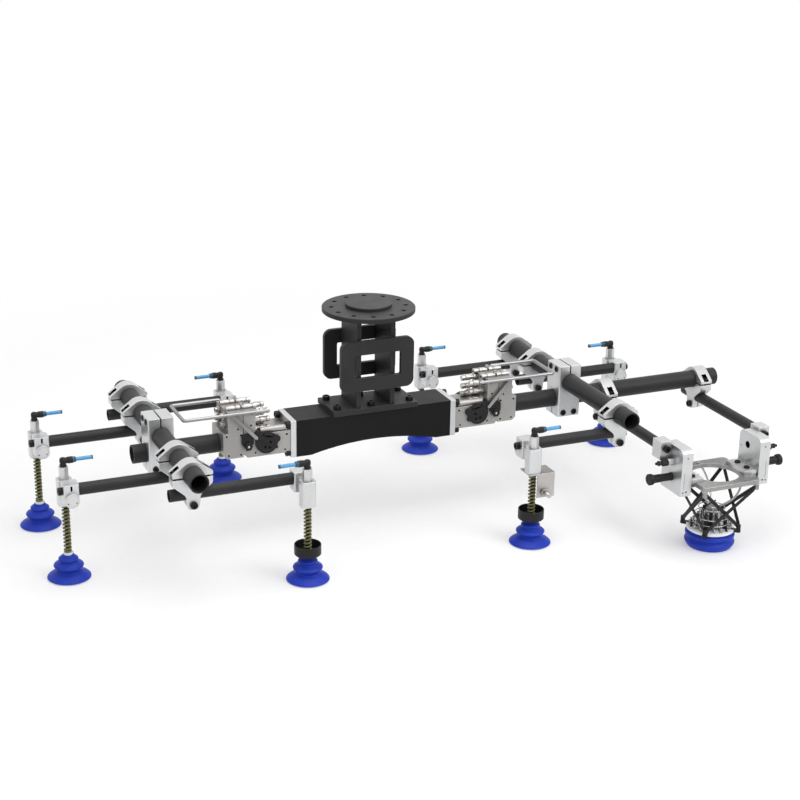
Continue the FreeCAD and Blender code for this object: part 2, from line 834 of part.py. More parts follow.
def elbow(outward):
    """Elbow fitting on the rod end, with the stub of air hose in it."""
    axis_z = elbow_start + elbow_barrel_height
    body = pin(elbow_body_radius, Z * elbow_start, Z * (elbow_start + elbow_body_height))
    body = body.fuse(pin(elbow_barrel_radius, Z * axis_z, point(outward * elbow_barrel_length, 0, axis_z)))
    body = body.cut(pin(rod_radius + fixed_fit, Z * elbow_start, Z * rod_top))
    body = body.cut(pin(vacuum_bore, Z * rod_top, Z * axis_z))
    body = body.cut(pin(vacuum_bore, Z * axis_z, point(outward * elbow_barrel_length, 0, axis_z)))
    seat = elbow_barrel_length - 9
    body = body.cut(pin(hose_radius, point(outward * seat, 0, axis_z), point(outward * elbow_barrel_length, 0, axis_z)))
    hose = pipe(hose_radius, hose_radius - hose_wall, point(outward * seat, 0, axis_z), point(outward * hose_reach, 0, axis_z))
    return [body, hose]


def spring(seat):
    return pipe(spring_outer, spring_inner, Z * seat, Z * barrel_bottom)


def bellows_cup():
    base = lip_height
    neck = nipple_radius + fixed_fit
    outer = [(neck, cup_top), (cup_top_radius, cup_top), (cup_upper_radius, cup_top - 8), (cup_neck_radius, base + 34),
             (cup_middle_radius, base + 25), (cup_middle_radius - 7, base + 15), (cup_lip_radius, base)]
    inner = [(cup_lip_radius - 2, base), (cup_middle_radius - 9, base + 13), (cup_middle_radius - cup_wall, base + 25),
             (cup_neck_radius - cup_wall, base + 34), (cup_upper_radius - cup_wall, cup_top - 8),
             (neck, cup_top - nipple_length + 1)]
    return revolved(outer + inner)


# Sensor bracket of unit c: a bent sheet under the barrel, with the sensor on its front

def sensor_bracket():
    top = barrel_bottom
    hole = pin(barrel_bore, Z * (top - sensor_sheet), Z * top)
    flange = block(-barrel_half_x, sensor_right, -sensor_front - sensor_sheet, sensor_depth - sensor_front,
                   top - sensor_sheet, top).cut(hole)
    front = block(sensor_left, sensor_right, -sensor_front - sensor_sheet, -sensor_front, top - sensor_drop, top)
    sheet = flange.fuse(front)
    place = point(sensor_left + 16, -sensor_front - sensor_sheet, top - sensor_drop + 12)
    sensor = pin(sensor_radius, place, place - Y * sensor_length)
    return [sheet.removeSplitter(), sensor]


# Large head, built round its own centre line

def head_bracket():
    """Right-hand bracket: upright plate with rounded top corners and an inward foot."""
    x0, x1 = bracket_inner, bracket_inner + bracket_thickness
    plate = block(x0, x1, -bracket_half_width, bracket_half_width, bracket_bottom, bracket_top)
    top_edges = [e for e in plate.Edges if abs(e.tangentAt(e.FirstParameter).x) > 0.99
                 and e.BoundBox.ZMin > bracket_top - 1]
    plate = plate.makeFillet(bracket_corner, top_edges)
    foot = block(foot_start, x0, -ring_tab_half, ring_tab_half, foot_top - foot_thickness, foot_top)
    body = plate.fuse(foot)
    body = body.cut(pin(plunger_pin_radius + slide_fit, point(x0 - plunger_pin_proud - 1, 0, plunger_height),
                        point(x1, 0, plunger_height)))
    for place in foot_screw_places(1, local=True):
        body = body.cut(pin(screw_m8[1] + hole_play, place, place + Z * 20))
        body = body.cut(pin(screw_m8[0] + hole_play, place - Z * foot_thickness, place))
    return body.removeSplitter()


foot_screw_sink = 5.0
foot_screw_length = foot_thickness - foot_screw_sink + ring_thickness - 2


def foot_screw_places(side, local=False):
    x = 0.0 if local else head_x
    y = 0.0 if local else head_y
    return [point(x + side * foot_screw_x, y + across, foot_top - foot_screw_sink)
            for across in (-foot_screw_y, foot_screw_y)]


def corner_posts(half, z0, z1, radius=post_radius):
    corners = [(x, y) for x in (-half, half) for y in (-half, half)]
    return [pin(radius, point(x, y, z0), point(x, y, z1)) for x, y in corners]


def head_ring():
    """Square plate with a large round hole, side tabs for the feet and a post under each corner."""
    top = foot_top - foot_thickness
    bottom = top - ring_thickness
    plate = block(-ring_half, ring_half, -ring_half, ring_half, bottom, top)
    corners = [e for e in plate.Edges if abs(e.tangentAt(e.FirstParameter).z) > 0.99]
    plate = plate.makeFillet(ring_corner, corners)
    plate = plate.fuse(block(-ring_tab_x, ring_tab_x, -ring_tab_half, ring_tab_half, bottom, top))
    plate = plate.cut(pin(ring_inner, Z * (bottom - 1), Z * (top + 1)))
    for post in corner_posts(upper_post, bottom - post_height, bottom):
        plate = plate.fuse(post)
    for side in (-1, 1):
        for place in foot_screw_places(side, local=True):
            plate = plate.cut(pin(screw_m8[0] + thread_play, place - Z * (foot_screw_length + 1), place))
    return plate.removeSplitter()


def head_clamp():
    """Clamp that holds the end of an arm tube against the outer face of a bracket."""
    x = arm_right_x - head_x
    y0 = head_clamp_y - head_clamp_length / 2
    body = block(x - head_clamp_half, x + head_clamp_half, y0, y0 + head_clamp_length,
                 -tube_spacing + holder_bottom, -tube_spacing + holder_top)
    bore = pin(small_tube_radius + fixed_fit, point(x, head_clamp_y, -tube_spacing),
               point(x, y0 + head_clamp_length + 1, -tube_spacing))
    body = body.cut(bore)
    for place, axis in head_clamp_bolts():
        body = body.cut(pin(bolt_large[0] + thread_play, place, place - axis * (bolt_large_length + 1)))
    return body


def head_clamp_bolts():
    front = point(arm_right_x - head_x, head_clamp_y - head_clamp_length / 2, -tube_spacing)
    return [(front, Y * -1)]


def head_struts():
    """Eight flat struts: on each of the four sides two cross, one outside the other."""
    upper_z = foot_top - foot_thickness - ring_thickness - post_height / 2
    lower_z = platform_height + platform_thickness + post_height / 2
    cutters = corner_posts(upper_post, lower_z - post_height, upper_z + post_height, post_radius + slide_fit)
    cutters += corner_posts(lower_post, lower_z - post_height, upper_z + post_height, post_radius + slide_fit)
    bars = []
    for direction in (-1, 1):
        start = point(direction * upper_post, -upper_post, upper_z)
        end = point(-direction * lower_post, -lower_post, lower_z)
        slope = point(0, upper_post - lower_post, lower_z - upper_z)
        outward = slope.cross(X).normalize()
        bar = flat_bar(start, end, outward, direction * strut_layer)
        for post in cutters:
            bar = bar.cut(post)
        bars.append(max(bar.Solids, key=lambda solid: solid.Volume))
    return [turned(bar, Z, 90 * quarter) for quarter in range(4) for bar in bars]


def flat_bar(start, end, outward, layer):
    """Flat strut between two points, its flat side facing outward, shifted outward by its layer."""
    along = (end - start).normalize()
    across = along.cross(outward).normalize() * (strut_width / 2)
    inner = outward * (layer - strut_thickness / 2)
    corners = [start + across + inner, start - across + inner, end - across + inner, end + across + inner]
    return prism(corners, outward * strut_thickness)


def head_platform():
    low = platform_height
    top = low + platform_thickness
    disc = Part.makeCylinder(platform_radius, platform_thickness, point(0, 0, low))
    reach = lower_post * math.sqrt(2) + post_radius + lug_margin
    arm = block(-reach, reach, -lug_width / 2, lug_width / 2, low, top)
    disc = disc.fuse(turned(arm, Z, 45)).fuse(turned(arm, Z, -45))
    for post in corner_posts(lower_post, top, top + post_height):
        disc = disc.fuse(post)
    nozzle = Part.makeCone(nozzle_base_radius, nozzle_top_radius, nozzle_height, point(0, 0, top))
    bore = pin(vacuum_bore * 2, Z * (low - 1), Z * (top + nozzle_height + 1))
    return disc.fuse(nozzle).cut(bore).removeSplitter()


def head_cup():
    base = head_lip_height
    top = platform_height
    height = top - base
    outer = [(vacuum_bore * 2, top), (head_cup_waist, top), (head_cup_radius, top - height * 0.28),
             (head_cup_waist + 3, top - height * 0.5), (head_cup_radius, top - height * 0.73), (head_cup_radius - 5, base)]
    inner = [(head_cup_radius - 8, base), (head_cup_radius - cup_wall, top - height * 0.73),
             (head_cup_waist + 3 - cup_wall, top - height * 0.5), (head_cup_radius - cup_wall, top - height * 0.28),
             (head_cup_waist - 4, top - 4), (vacuum_bore * 2, top - 4)]
    return revolved(outer + inner)


def index_barrel():
    x = bracket_inner + bracket_thickness
    barrel = pin(plunger_barrel_radius, point(x, 0, plunger_height), point(x + plunger_barrel_length, 0, plunger_height))
    bore = pin(plunger_pin_radius + slide_fit, point(x, 0, plunger_height),
               point(x + plunger_barrel_length, 0, plunger_height))
    return barrel.cut(bore)


def index_knob():
    """Pull knob with its locking pin, at rest with the pin through the bracket."""
    x = bracket_inner + bracket_thickness + plunger_barrel_length + seat_gap
    tip = point(bracket_inner - plunger_pin_proud, 0, plunger_height)
    locking_pin = pin(plunger_pin_radius, tip, point(x, 0, plunger_height))
    knob = pin(plunger_knob_radius, point(x, 0, plunger_height), point(x + plunger_knob_length, 0, plunger_height))
    return locking_pin.fuse(knob)


def at_head(shape):
    return moved(shape, head_x, head_y)


def both_sides(shape):
    return [at_head(shape), at_head(mirrored(shape))]


# Assembly

nodes = {}


def add(name, shapes):
    solids = []
    for shape in shapes if isinstance(shapes, list) else [shapes]:
        solids += moved(shape, z=-flange_height).Solids
    nodes[name] = solids


add("robot_flange", robot_flange())
add("tower_legs", [tower_leg(-1), tower_leg(1)])
add("tower_frames", [tower_frame(-1), tower_frame(1)])
add("base_plate", base_plate())
add("center_beam", center_beam())
add("end_plates", [end_plate(-1), end_plate(1)])

add("coupler_bodies", [mirrored(coupler_body()), coupler_body()])
add("coupler_tool_halves", [mirrored(coupler_tool_half()), coupler_tool_half()])
for side_name, place_side in (("left", mirrored), ("right", moved)):
    add("handle_" + side_name, place_side(handle()))
    add("cam_" + side_name, [place_side(cam) for cam in cams()])
add("air_couplings", [place(fitting) for fitting in air_couplings() for place in (mirrored, moved)])
add("latch_knobs", [mirrored(latch_knob()), latch_knob()])

add("large_tubes", main_tubes() + cross_tubes())
add("small_tubes", small_tubes())
add("cross_blocks", [moved(cross_block(), x) for x in (cross_left_x, cross_right_x)])
add("clamp_caps", at_clamps([clamp_cap()]))
add("clamp_jaws", at_clamps([clamp_jaw()]))

screws = socket_screws()
holders = []
bushes = []
for letter, unit in units.items():
    plunger_x, plunger_y = plunger_place(unit)
    towards_tube = -math.copysign(1, unit[2])
    behind = unit[3]

    def at_unit(shape, upright=False):
        copy = shape if behind > 0 or upright else shape.mirror(point(0, 0, 0), Y)
        return moved(copy, plunger_x, plunger_y)

    holders.append(at_unit(cup_holder(towards_tube)))
    screws.append(at_unit(holder_screw(towards_tube)))
    bushes.append(at_unit(guide_bush()))
    rod_parts = [plunger_rod()] + ([guard_ring()] if behind < 0 else [])
    add("rod_" + letter, [at_unit(part) for part in rod_parts])
    add("elbow_" + letter, [at_unit(part) for part in elbow(towards_tube)])
    spring_seat = collar_top + (guard_ring_wall if behind < 0 else 0)
    add("spring_" + letter, at_unit(spring(spring_seat)))
    add("cup_" + letter, at_unit(bellows_cup()))
    if letter == "c":
        add("sensor_bracket", [at_unit(part, upright=True) for part in sensor_bracket()])
add("cup_holders", holders)
add("socket_screws", screws)
add("guide_bushes", bushes)

add("head_brackets", both_sides(head_bracket()))
add("head_clamps", both_sides(head_clamp()))
add("head_ring", at_head(head_ring()))
add("head_struts", [at_head(bar) for bar in head_struts()])
add("head_platform", at_head(head_platform()))
add("head_cup", at_head(head_cup()))
add("index_barrels", both_sides(index_barrel()))
add("index_knob_left", at_head(mirrored(index_knob())))
add("index_knob_right", at_head(index_knob()))

os.makedirs("parts", exist_ok=True)
for name, solids in nodes.items():
    shape = solids[0] if len(solids) == 1 else Part.makeCompound(solids)
    shape.exportStep("parts/" + name + ".step")
    print(name, len(solids), "solids", round(shape.Volume / 1000, 1), "cm3", "valid" if shape.isValid() else "NOT VALID")
print(len(nodes), "nodes")
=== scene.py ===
import math
import bmesh
import bpy
from mathutils import Matrix, Vector


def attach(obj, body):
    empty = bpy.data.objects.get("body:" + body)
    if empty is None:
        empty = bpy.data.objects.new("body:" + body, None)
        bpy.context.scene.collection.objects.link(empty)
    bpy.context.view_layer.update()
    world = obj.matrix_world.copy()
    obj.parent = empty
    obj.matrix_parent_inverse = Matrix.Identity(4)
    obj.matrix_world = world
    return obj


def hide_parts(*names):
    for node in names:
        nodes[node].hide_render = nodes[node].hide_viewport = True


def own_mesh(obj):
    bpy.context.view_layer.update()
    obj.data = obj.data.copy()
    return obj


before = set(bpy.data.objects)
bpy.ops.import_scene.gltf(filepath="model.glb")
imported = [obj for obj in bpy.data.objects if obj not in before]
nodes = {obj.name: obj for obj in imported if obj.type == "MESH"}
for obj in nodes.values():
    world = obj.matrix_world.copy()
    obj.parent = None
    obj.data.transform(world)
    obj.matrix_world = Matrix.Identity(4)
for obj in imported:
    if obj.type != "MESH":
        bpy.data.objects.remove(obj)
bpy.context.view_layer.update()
print("frame loaded,", len(nodes), "nodes")

mm = 0.001
tubeLevel = -265.0  # height of the main tubes' axis below the robot flange
crossRise = 42  # the cross tubes' axis above it
proud = 0.12  # how far small marks, and the dark sheets painted as shade in openings, stand out of their surface, so that they show


# Camera at the photograph's angle
camera = {"place": (-1.307978, -3.177011, 1.027245), "azimuth": -21.926, "elevation": 20.3029,
          "roll": 0.37375, "lens": 75.664, "shiftX": 0.05612, "shiftY": 0.01654}


def setCamera(values):
    azimuth, elevation, roll = (math.radians(values[key]) for key in ("azimuth", "elevation", "roll"))
    back = Vector((math.sin(azimuth) * math.cos(elevation), -math.cos(azimuth) * math.cos(elevation),
                   math.sin(elevation)))
    right = (-back).cross(Vector((0, 0, 1))).normalized()
    up = right.cross(-back)
    tiltedRight = math.cos(roll) * right + math.sin(roll) * up
    tiltedUp = -math.sin(roll) * right + math.cos(roll) * up
    data = bpy.data.cameras.new("viewCamera")
    data.sensor_width = 36
    data.lens = values["lens"]
    data.shift_x = values["shiftX"]
    data.shift_y = values["shiftY"]
    data.clip_start = 0.05
    data.clip_end = 50
    viewer = bpy.data.objects.new("viewCamera", data)
    bpy.context.scene.collection.objects.link(viewer)
    turn = Matrix((tiltedRight, tiltedUp, back)).transposed().to_4x4()
    viewer.matrix_world = Matrix.Translation(values["place"]) @ turn
    bpy.context.scene.camera = viewer


setCamera(camera)
print("camera set")


# Shared shader effects, each built once as a node group
def startGroup(name, inputs, outputs):
    tree = bpy.data.node_groups.new(name, "ShaderNodeTree")
    for socketName, kind, value in inputs:
        socket = tree.interface.new_socket(socketName, in_out="INPUT", socket_type=kind)
        socket.default_value = value
    for socketName, kind in outputs:
        tree.interface.new_socket(socketName, in_out="OUTPUT", socket_type=kind)
    return tree, tree.nodes.new("NodeGroupInput"), tree.nodes.new("NodeGroupOutput")


def addNode(tree, kind, settings=None, values=None):
    node = tree.nodes.new(kind)
    for key, value in (settings or {}).items():
        setattr(node, key, value)
    for key, value in (values or {}).items():
        node.inputs[key].default_value = value
    return node


# Rounds the shading normal at edges, and gives the mask along edges where a painted highlight is mixed into the
# colour
def makeEdgeGroup():
    tree, given, result = startGroup("edgeRoundingAndHighlight", [("Radius", "NodeSocketFloat", 0.0008),
                                     ("Contrast", "NodeSocketFloat", 3.0)],
                                     [("Normal", "NodeSocketVector"), ("Mask", "NodeSocketFloat")])
    link = tree.links.new
    bevel = addNode(tree, "ShaderNodeBevel", {"samples": 6})
    surface = addNode(tree, "ShaderNodeNewGeometry")
    dot = addNode(tree, "ShaderNodeVectorMath", {"operation": "DOT_PRODUCT"})
    flip = addNode(tree, "ShaderNodeMath", {"operation": "SUBTRACT", "use_clamp": True}, {0: 1.0})
    boost = addNode(tree, "ShaderNodeMath", {"operation": "MULTIPLY", "use_clamp": True})
    link(given.outputs["Radius"], bevel.inputs["Radius"])
    link(bevel.outputs[0], dot.inputs[0])
    link(surface.outputs["Normal"], dot.inputs[1])
    link(dot.outputs["Value"], flip.inputs[1])
    link(flip.outputs[0], boost.inputs[0])
    link(given.outputs["Contrast"], boost.inputs[1])
    link(bevel.outputs[0], result.inputs["Normal"])
    link(boost.outputs[0], result.inputs["Mask"])
    return tree


def makeGrainGroup():
    tree, given, result = startGroup("stretchedGrain", [("Scale", "NodeSocketFloat", 400.0),
                                     ("Stretch", "NodeSocketVector", (1.0, 1.0, 1.0)),
                                     ("Low", "NodeSocketFloat", 0.3), ("High", "NodeSocketFloat", 0.7)],
                                     [("Grain", "NodeSocketFloat")])
    link = tree.links.new
    place = addNode(tree, "ShaderNodeTexCoord")
    stretch = addNode(tree, "ShaderNodeVectorMath", {"operation": "MULTIPLY"})
    noise = addNode(tree, "ShaderNodeTexNoise", {}, {"Detail": 4.0, "Roughness": 0.6})
    ramp = addNode(tree, "ShaderNodeMapRange")
    link(place.outputs["Object"], stretch.inputs[0])
    link(given.outputs["Stretch"], stretch.inputs[1])
    link(stretch.outputs[0], noise.inputs["Vector"])
    link(given.outputs["Scale"], noise.inputs["Scale"])
    link(noise.outputs["Fac"], ramp.inputs["Value"])
    link(given.outputs["Low"], ramp.inputs["From Min"])
    link(given.outputs["High"], ramp.inputs["From Max"])
    link(ramp.outputs["Result"], result.inputs["Grain"])
    return tree


def makeWeaveGroup():
    tree, given, result = startGroup("fibreWeave", [("Scale", "NodeSocketFloat", 90.0)],
                                     [("Weave", "NodeSocketFloat")])
    link = tree.links.new
    place = addNode(tree, "ShaderNodeTexCoord")
    bands = []
    for turn in (38, -38):
        rotate = addNode(tree, "ShaderNodeVectorRotate", {"rotation_type": "Z_AXIS"}, {"Angle": math.radians(turn)})
        wave = addNode(tree, "ShaderNodeTexWave", {"bands_direction": "X"}, {"Distortion": 0.6, "Detail": 1.0})
        link(place.outputs["Object"], rotate.inputs["Vector"])
        link(rotate.outputs[0], wave.inputs["Vector"])
        link(given.outputs["Scale"], wave.inputs["Scale"])
        bands.append(wave)
    mix = addNode(tree, "ShaderNodeMath", {"operation": "MAXIMUM"})
    link(bands[0].outputs["Fac"], mix.inputs[0])
    link(bands[1].outputs["Fac"], mix.inputs[1])
    link(mix.outputs[0], result.inputs["Weave"])
    return tree


# Painted shade: ambient occlusion darkens the colour in creases, corners and between parts
def makeCreaseShadeGroup():
    tree, given, result = startGroup("paintedCreaseShade", [("Amount", "NodeSocketFloat", 0.5),
                                     ("Reach", "NodeSocketFloat", 0.012)], [("Mask", "NodeSocketFloat")])
    link = tree.links.new
    openness = addNode(tree, "ShaderNodeAmbientOcclusion", {"samples": 6})
    flip = addNode(tree, "ShaderNodeMath", {"operation": "SUBTRACT", "use_clamp": True}, {0: 1.0})
    scaled = addNode(tree, "ShaderNodeMath", {"operation": "MULTIPLY", "use_clamp": True})
    link(given.outputs["Reach"], openness.inputs["Distance"])
    link(openness.outputs["AO"], flip.inputs[1])
    link(flip.outputs[0], scaled.inputs[0])
    link(given.outputs["Amount"], scaled.inputs[1])
    link(scaled.outputs[0], result.inputs["Mask"])
    return tree


# Paler patches on upward-facing surfaces: noise times how far a face looks up
def makeUpwardPaleGroup():
    tree, given, result = startGroup("upwardPalePatches", [("Amount", "NodeSocketFloat", 0.2)],
                                     [("Mask", "NodeSocketFloat")])
    link = tree.links.new
    surface = addNode(tree, "ShaderNodeNewGeometry")
    parts = addNode(tree, "ShaderNodeSeparateXYZ")
    upward = addNode(tree, "ShaderNodeMapRange", {}, {"From Min": 0.2, "From Max": 1.0})
    place = addNode(tree, "ShaderNodeTexCoord")
    noise = addNode(tree, "ShaderNodeTexNoise", {}, {"Scale": 35.0, "Detail": 6.0})
    both = addNode(tree, "ShaderNodeMath", {"operation": "MULTIPLY"})
    scaled = addNode(tree, "ShaderNodeMath", {"operation": "MULTIPLY", "use_clamp": True})
    link(surface.outputs["Normal"], parts.inputs[0])
    link(parts.outputs["Z"], upward.inputs["Value"])
    link(place.outputs["Object"], noise.inputs["Vector"])
    link(upward.outputs["Result"], both.inputs[0])
    link(noise.outputs["Fac"], both.inputs[1])
    link(both.outputs[0], scaled.inputs[0])
    link(given.outputs["Amount"], scaled.inputs[1])
    link(scaled.outputs[0], result.inputs["Mask"])
    return tree


effects = {"edge": makeEdgeGroup(), "grain": makeGrainGroup(), "weave": makeWeaveGroup(), "upwardPale": makeUpwardPaleGroup(),
           "creaseShade": makeCreaseShadeGroup()}


def placeEffect(tree, name, **values):
    node = tree.nodes.new("ShaderNodeGroup")
    node.node_tree = effects[name]
    for key, value in values.items():
        node.inputs[key].default_value = value
    return node


# What each finish looks like; colours are linear, and what an entry leaves out is as usual. An edge colour is a
# painted highlight along the edges, and a crease amount is painted shade in creases and corners.
plain = (1, 1, 1)
usualFinish = {"metal": 0.0, "grain": (900, plain), "bump": 0.05, "upwardPale": 0.0, "specular": 0.5}
finishes = {
    "blackSatin": {"dark": (0.02, 0.02, 0.0205), "light": (0.031, 0.031, 0.032), "rough": (0.44, 0.56),
                   "edge": (0.0009, (0.10, 0.10, 0.10)), "upwardPale": 0.08, "specular": 0.20},
    "beamBlack": {"dark": (0.004, 0.004, 0.0045), "light": (0.007, 0.007, 0.0075), "rough": (0.42, 0.55),
                  "edge": (0.0009, (0.06, 0.06, 0.06)), "upwardPale": 0.04, "specular": 0.16},
    "carbonTube": {"dark": (0.015, 0.015, 0.016), "light": (0.025, 0.025, 0.026), "rough": (0.40, 0.52),
                   "grain": (300, plain), "bump": 0.08, "weave": 110.0, "edge": (0.0006, (0.10, 0.10, 0.10)),
                   "upwardPale": 0.025, "specular": 0.22},
    "carbonPlate": {"dark": (0.012, 0.012, 0.013), "light": (0.024, 0.024, 0.025), "rough": (0.40, 0.54),
                    "grain": (300, plain), "weave": 160.0, "edge": (0.0005, (0.07, 0.07, 0.07)), "upwardPale": 0.02,
                    "specular": 0.17},
    "blackSteel": {"dark": (0.007, 0.007, 0.008), "light": (0.016, 0.016, 0.017), "rough": (0.30, 0.44),
                   "metal": 0.3, "grain": (1500, plain), "bump": 0.04, "edge": (0.0004, (0.09, 0.09, 0.09)),
                   "specular": 0.25},
    "blackPlastic": {"dark": (0.012, 0.012, 0.013), "light": (0.02, 0.02, 0.021), "rough": (0.36, 0.48),
                     "grain": (1300, plain), "bump": 0.10, "edge": (0.0007, (0.07, 0.07, 0.07)), "specular": 0.20},
    # near black: painted shade in holes, bores, slits and pockets, and the colour of black pins, screws and seams
    "holeShadeAndBlack": {"dark": (0.001, 0.001, 0.001), "light": (0.003, 0.003, 0.003), "rough": (0.8, 0.9),
                 "grain": (600, plain), "bump": 0.02, "edge": (0.0002, (0.01, 0.01, 0.01)), "specular": 0.0},
    "springWire": {"dark": (0.10, 0.10, 0.035), "light": (0.21, 0.21, 0.085), "rough": (0.34, 0.46), "metal": 0.2,
                   "grain": (1200, plain), "bump": 0.04, "edge": (0.0003, (0.3, 0.3, 0.14))},
    "brightSteel": {"dark": (0.448, 0.448, 0.448), "light": (0.592, 0.592, 0.592), "rough": (0.16, 0.26),
                    "metal": 1.0, "grain": (500, (1, 8, 8)), "bump": 0.03, "edge": (0.0005, (0.9, 0.9, 0.9)),
                    "creaseShade": 0.60},
    "aluminium": {"dark": (0.576, 0.58, 0.584), "light": (0.688, 0.692, 0.696), "rough": (0.27, 0.33),
                  "metal": 0.8, "grain": (700, (0.25, 1, 1)), "bump": 0.012, "edge": (0.0011, (0.95, 0.95, 0.95)),
                  "creaseShade": 0.75},
    "couplerMetal": {"dark": (0.32, 0.31, 0.299), "light": (0.424, 0.41, 0.394), "rough": (0.32, 0.46),
                     "metal": 0.65, "grain": (1500, plain), "bump": 0.12, "edge": (0.0010, (0.9, 0.89, 0.87)),
                     "creaseShade": 0.75},
    "satinSilver": {"dark": (0.4, 0.38, 0.364), "light": (0.56, 0.536, 0.516), "rough": (0.24, 0.36), "metal": 0.9,
                    "grain": (900, (1, 4, 4)), "edge": (0.0006, (0.95, 0.93, 0.91)), "creaseShade": 0.80},
    "ringMetal": {"dark": (0.272, 0.272, 0.268), "light": (0.416, 0.416, 0.408), "rough": (0.24, 0.38),
                  "metal": 0.85, "grain": (260, (0.3, 1, 1)), "bump": 0.10, "edge": (0.0010, (0.85, 0.85, 0.85)),
                  "creaseShade": 0.50},
    "wireSteel": {"dark": (0.272, 0.272, 0.272), "light": (0.4, 0.4, 0.4), "rough": (0.26, 0.36), "metal": 0.9,
                  "grain": (500, (1, 8, 8)), "bump": 0.03, "edge": (0.0005, (0.8, 0.8, 0.8))},
    "whitePlastic": {"dark": (0.72, 0.74, 0.78), "light": (0.82, 0.84, 0.87), "rough": (0.4, 0.5), "bump": 0.04,
                     "edge": (0.0005, (0.9, 0.9, 0.9))},
    "blueSilicone": {"dark": (0.008, 0.028, 0.31), "light": (0.014, 0.046, 0.47), "rough": (0.40, 0.52),
                     "grain": (220, plain), "edge": (0.0010, (0.04, 0.10, 0.62)), "specular": 0.22},
    "colletTeal": {"dark": (0.010, 0.055, 0.09), "light": (0.016, 0.085, 0.135), "rough": (0.3, 0.4), "bump": 0.04,
                   "edge": (0.0003, (0.1, 0.25, 0.33))},
    "hoseBlue": {"dark": (0.06, 0.27, 0.52), "light": (0.09, 0.36, 0.64), "rough": (0.24, 0.34),
                 "grain": (200, plain), "bump": 0.02, "edge": (0.0003, (0.35, 0.62, 0.85))},
    "clearHose": {"dark": (0.30, 0.31, 0.31), "light": (0.46, 0.47, 0.47), "rough": (0.16, 0.26),
                  "grain": (120, plain), "bump": 0.03, "edge": (0.0005, (0.8, 0.8, 0.8)), "specular": 0.6},
}
# the crease colour is the dark of the painted shade in creases
surface = {"patchScale": 14.0, "bumpDistance": 0.0004, "upwardPale": (0.55, 0.54, 0.52, 1),
           "creaseShade": (0.03, 0.03, 0.03, 1)}


def makeFinish(name, ownValues):
    values = {**usualFinish, **ownValues}
    material = bpy.data.materials.new(name)
    material.use_nodes = True
    tree = material.node_tree
    link = tree.links.new
    shader = tree.nodes["Principled BSDF"]
    shader.inputs["Metallic"].default_value = values["metal"]
    shader.inputs["Specular IOR Level"].default_value = values["specular"]
    scale, stretch = values["grain"]
    grain = placeEffect(tree, "grain", Scale=scale, Stretch=stretch)
    patches = placeEffect(tree, "grain", Scale=surface["patchScale"], Stretch=plain)
    edge = placeEffect(tree, "edge", Radius=values["edge"][0])
    upwardPale = placeEffect(tree, "upwardPale", Amount=values["upwardPale"])
    blend = addNode(tree, "ShaderNodeMath", {"operation": "MULTIPLY_ADD"}, {1: 0.5})
    half = addNode(tree, "ShaderNodeMath", {"operation": "MULTIPLY"}, {1: 0.5})
    base = addNode(tree, "ShaderNodeMix", {"data_type": "RGBA"},
                   {6: (*values["dark"], 1), 7: (*values["light"], 1)})
    # painted highlight: the colour turns towards the finish's edge colour along edges
    edgeHighlighted = addNode(tree, "ShaderNodeMix", {"data_type": "RGBA"}, {7: (*values["edge"][1], 1)})
    upwardPaled = addNode(tree, "ShaderNodeMix", {"data_type": "RGBA"}, {7: surface["upwardPale"]})
    rough = addNode(tree, "ShaderNodeMapRange", {}, {"To Min": values["rough"][0], "To Max": values["rough"][1]})
    bump = addNode(tree, "ShaderNodeBump", {}, {"Strength": values["bump"], "Distance": surface["bumpDistance"]})
    link(grain.outputs["Grain"], blend.inputs[0])
    link(patches.outputs["Grain"], half.inputs[0])
    link(half.outputs[0], blend.inputs[2])
    link(blend.outputs[0], base.inputs[0])
    link(base.outputs[2], edgeHighlighted.inputs[6])
    link(edge.outputs["Mask"], edgeHighlighted.inputs[0])
    link(edgeHighlighted.outputs[2], upwardPaled.inputs[6])
    link(upwardPale.outputs["Mask"], upwardPaled.inputs[0])
    # painted shade: creases and corners turn towards the dark crease colour
    if "creaseShade" in values:
        creaseShade = placeEffect(tree, "creaseShade", Amount=values["creaseShade"])
        creaseShaded = addNode(tree, "ShaderNodeMix", {"data_type": "RGBA"}, {7: surface["creaseShade"]})
        link(upwardPaled.outputs[2], creaseShaded.inputs[6])
        link(creaseShade.outputs["Mask"], creaseShaded.inputs[0])
        link(creaseShaded.outputs[2], shader.inputs["Base Color"])
    else:
        link(upwardPaled.outputs[2], shader.inputs["Base Color"])
    link(grain.outputs["Grain"], rough.inputs["Value"])
    link(rough.outputs["Result"], shader.inputs["Roughness"])
    if "weave" in values:
        weave = placeEffect(tree, "weave", Scale=values["weave"])
        link(weave.outputs["Weave"], bump.inputs["Height"])
        shade = addNode(tree, "ShaderNodeMath", {"operation": "MULTIPLY_ADD"}, {1: 0.5})
        link(weave.outputs["Weave"], shade.inputs[0])
        link(half.outputs[0], shade.inputs[2])
        link(shade.outputs[0], base.inputs[0])
    else:
        link(grain.outputs["Grain"], bump.inputs["Height"])
    link(edge.outputs["Normal"], bump.inputs["Normal"])
    link(bump.outputs["Normal"], shader.inputs["Normal"])
    return material


looks = {name: makeFinish(name, values) for name, values in finishes.items()}
print("finishes made:", len(looks))


# Nodes of the frame that stay get their finish here
nodeFinishes = {
    "blackSatin": ["robot_flange", "tower_legs", "tower_frames", "base_plate"],
    "beamBlack": ["center_beam"],
    "carbonTube": ["large_tubes", "small_tubes"],
    "carbonPlate": ["head_struts"],
    "wireSteel": ["handle_left", "handle_right"],
    "ringMetal": ["head_ring"],
    "couplerMetal": ["coupler_bodies", "coupler_tool_halves"],
    "aluminium": ["end_plates", "cross_blocks", "clamp_caps", "cup_holders", "guide_bushes", "head_brackets",
                  "head_clamps"],
    "satinSilver": ["sensor_bracket"],
}
for look, members in nodeFinishes.items():
    for member in members:
        nodes[member].data.materials.clear()
        nodes[member].data.materials.append(looks[look])
print("node finishes placed")


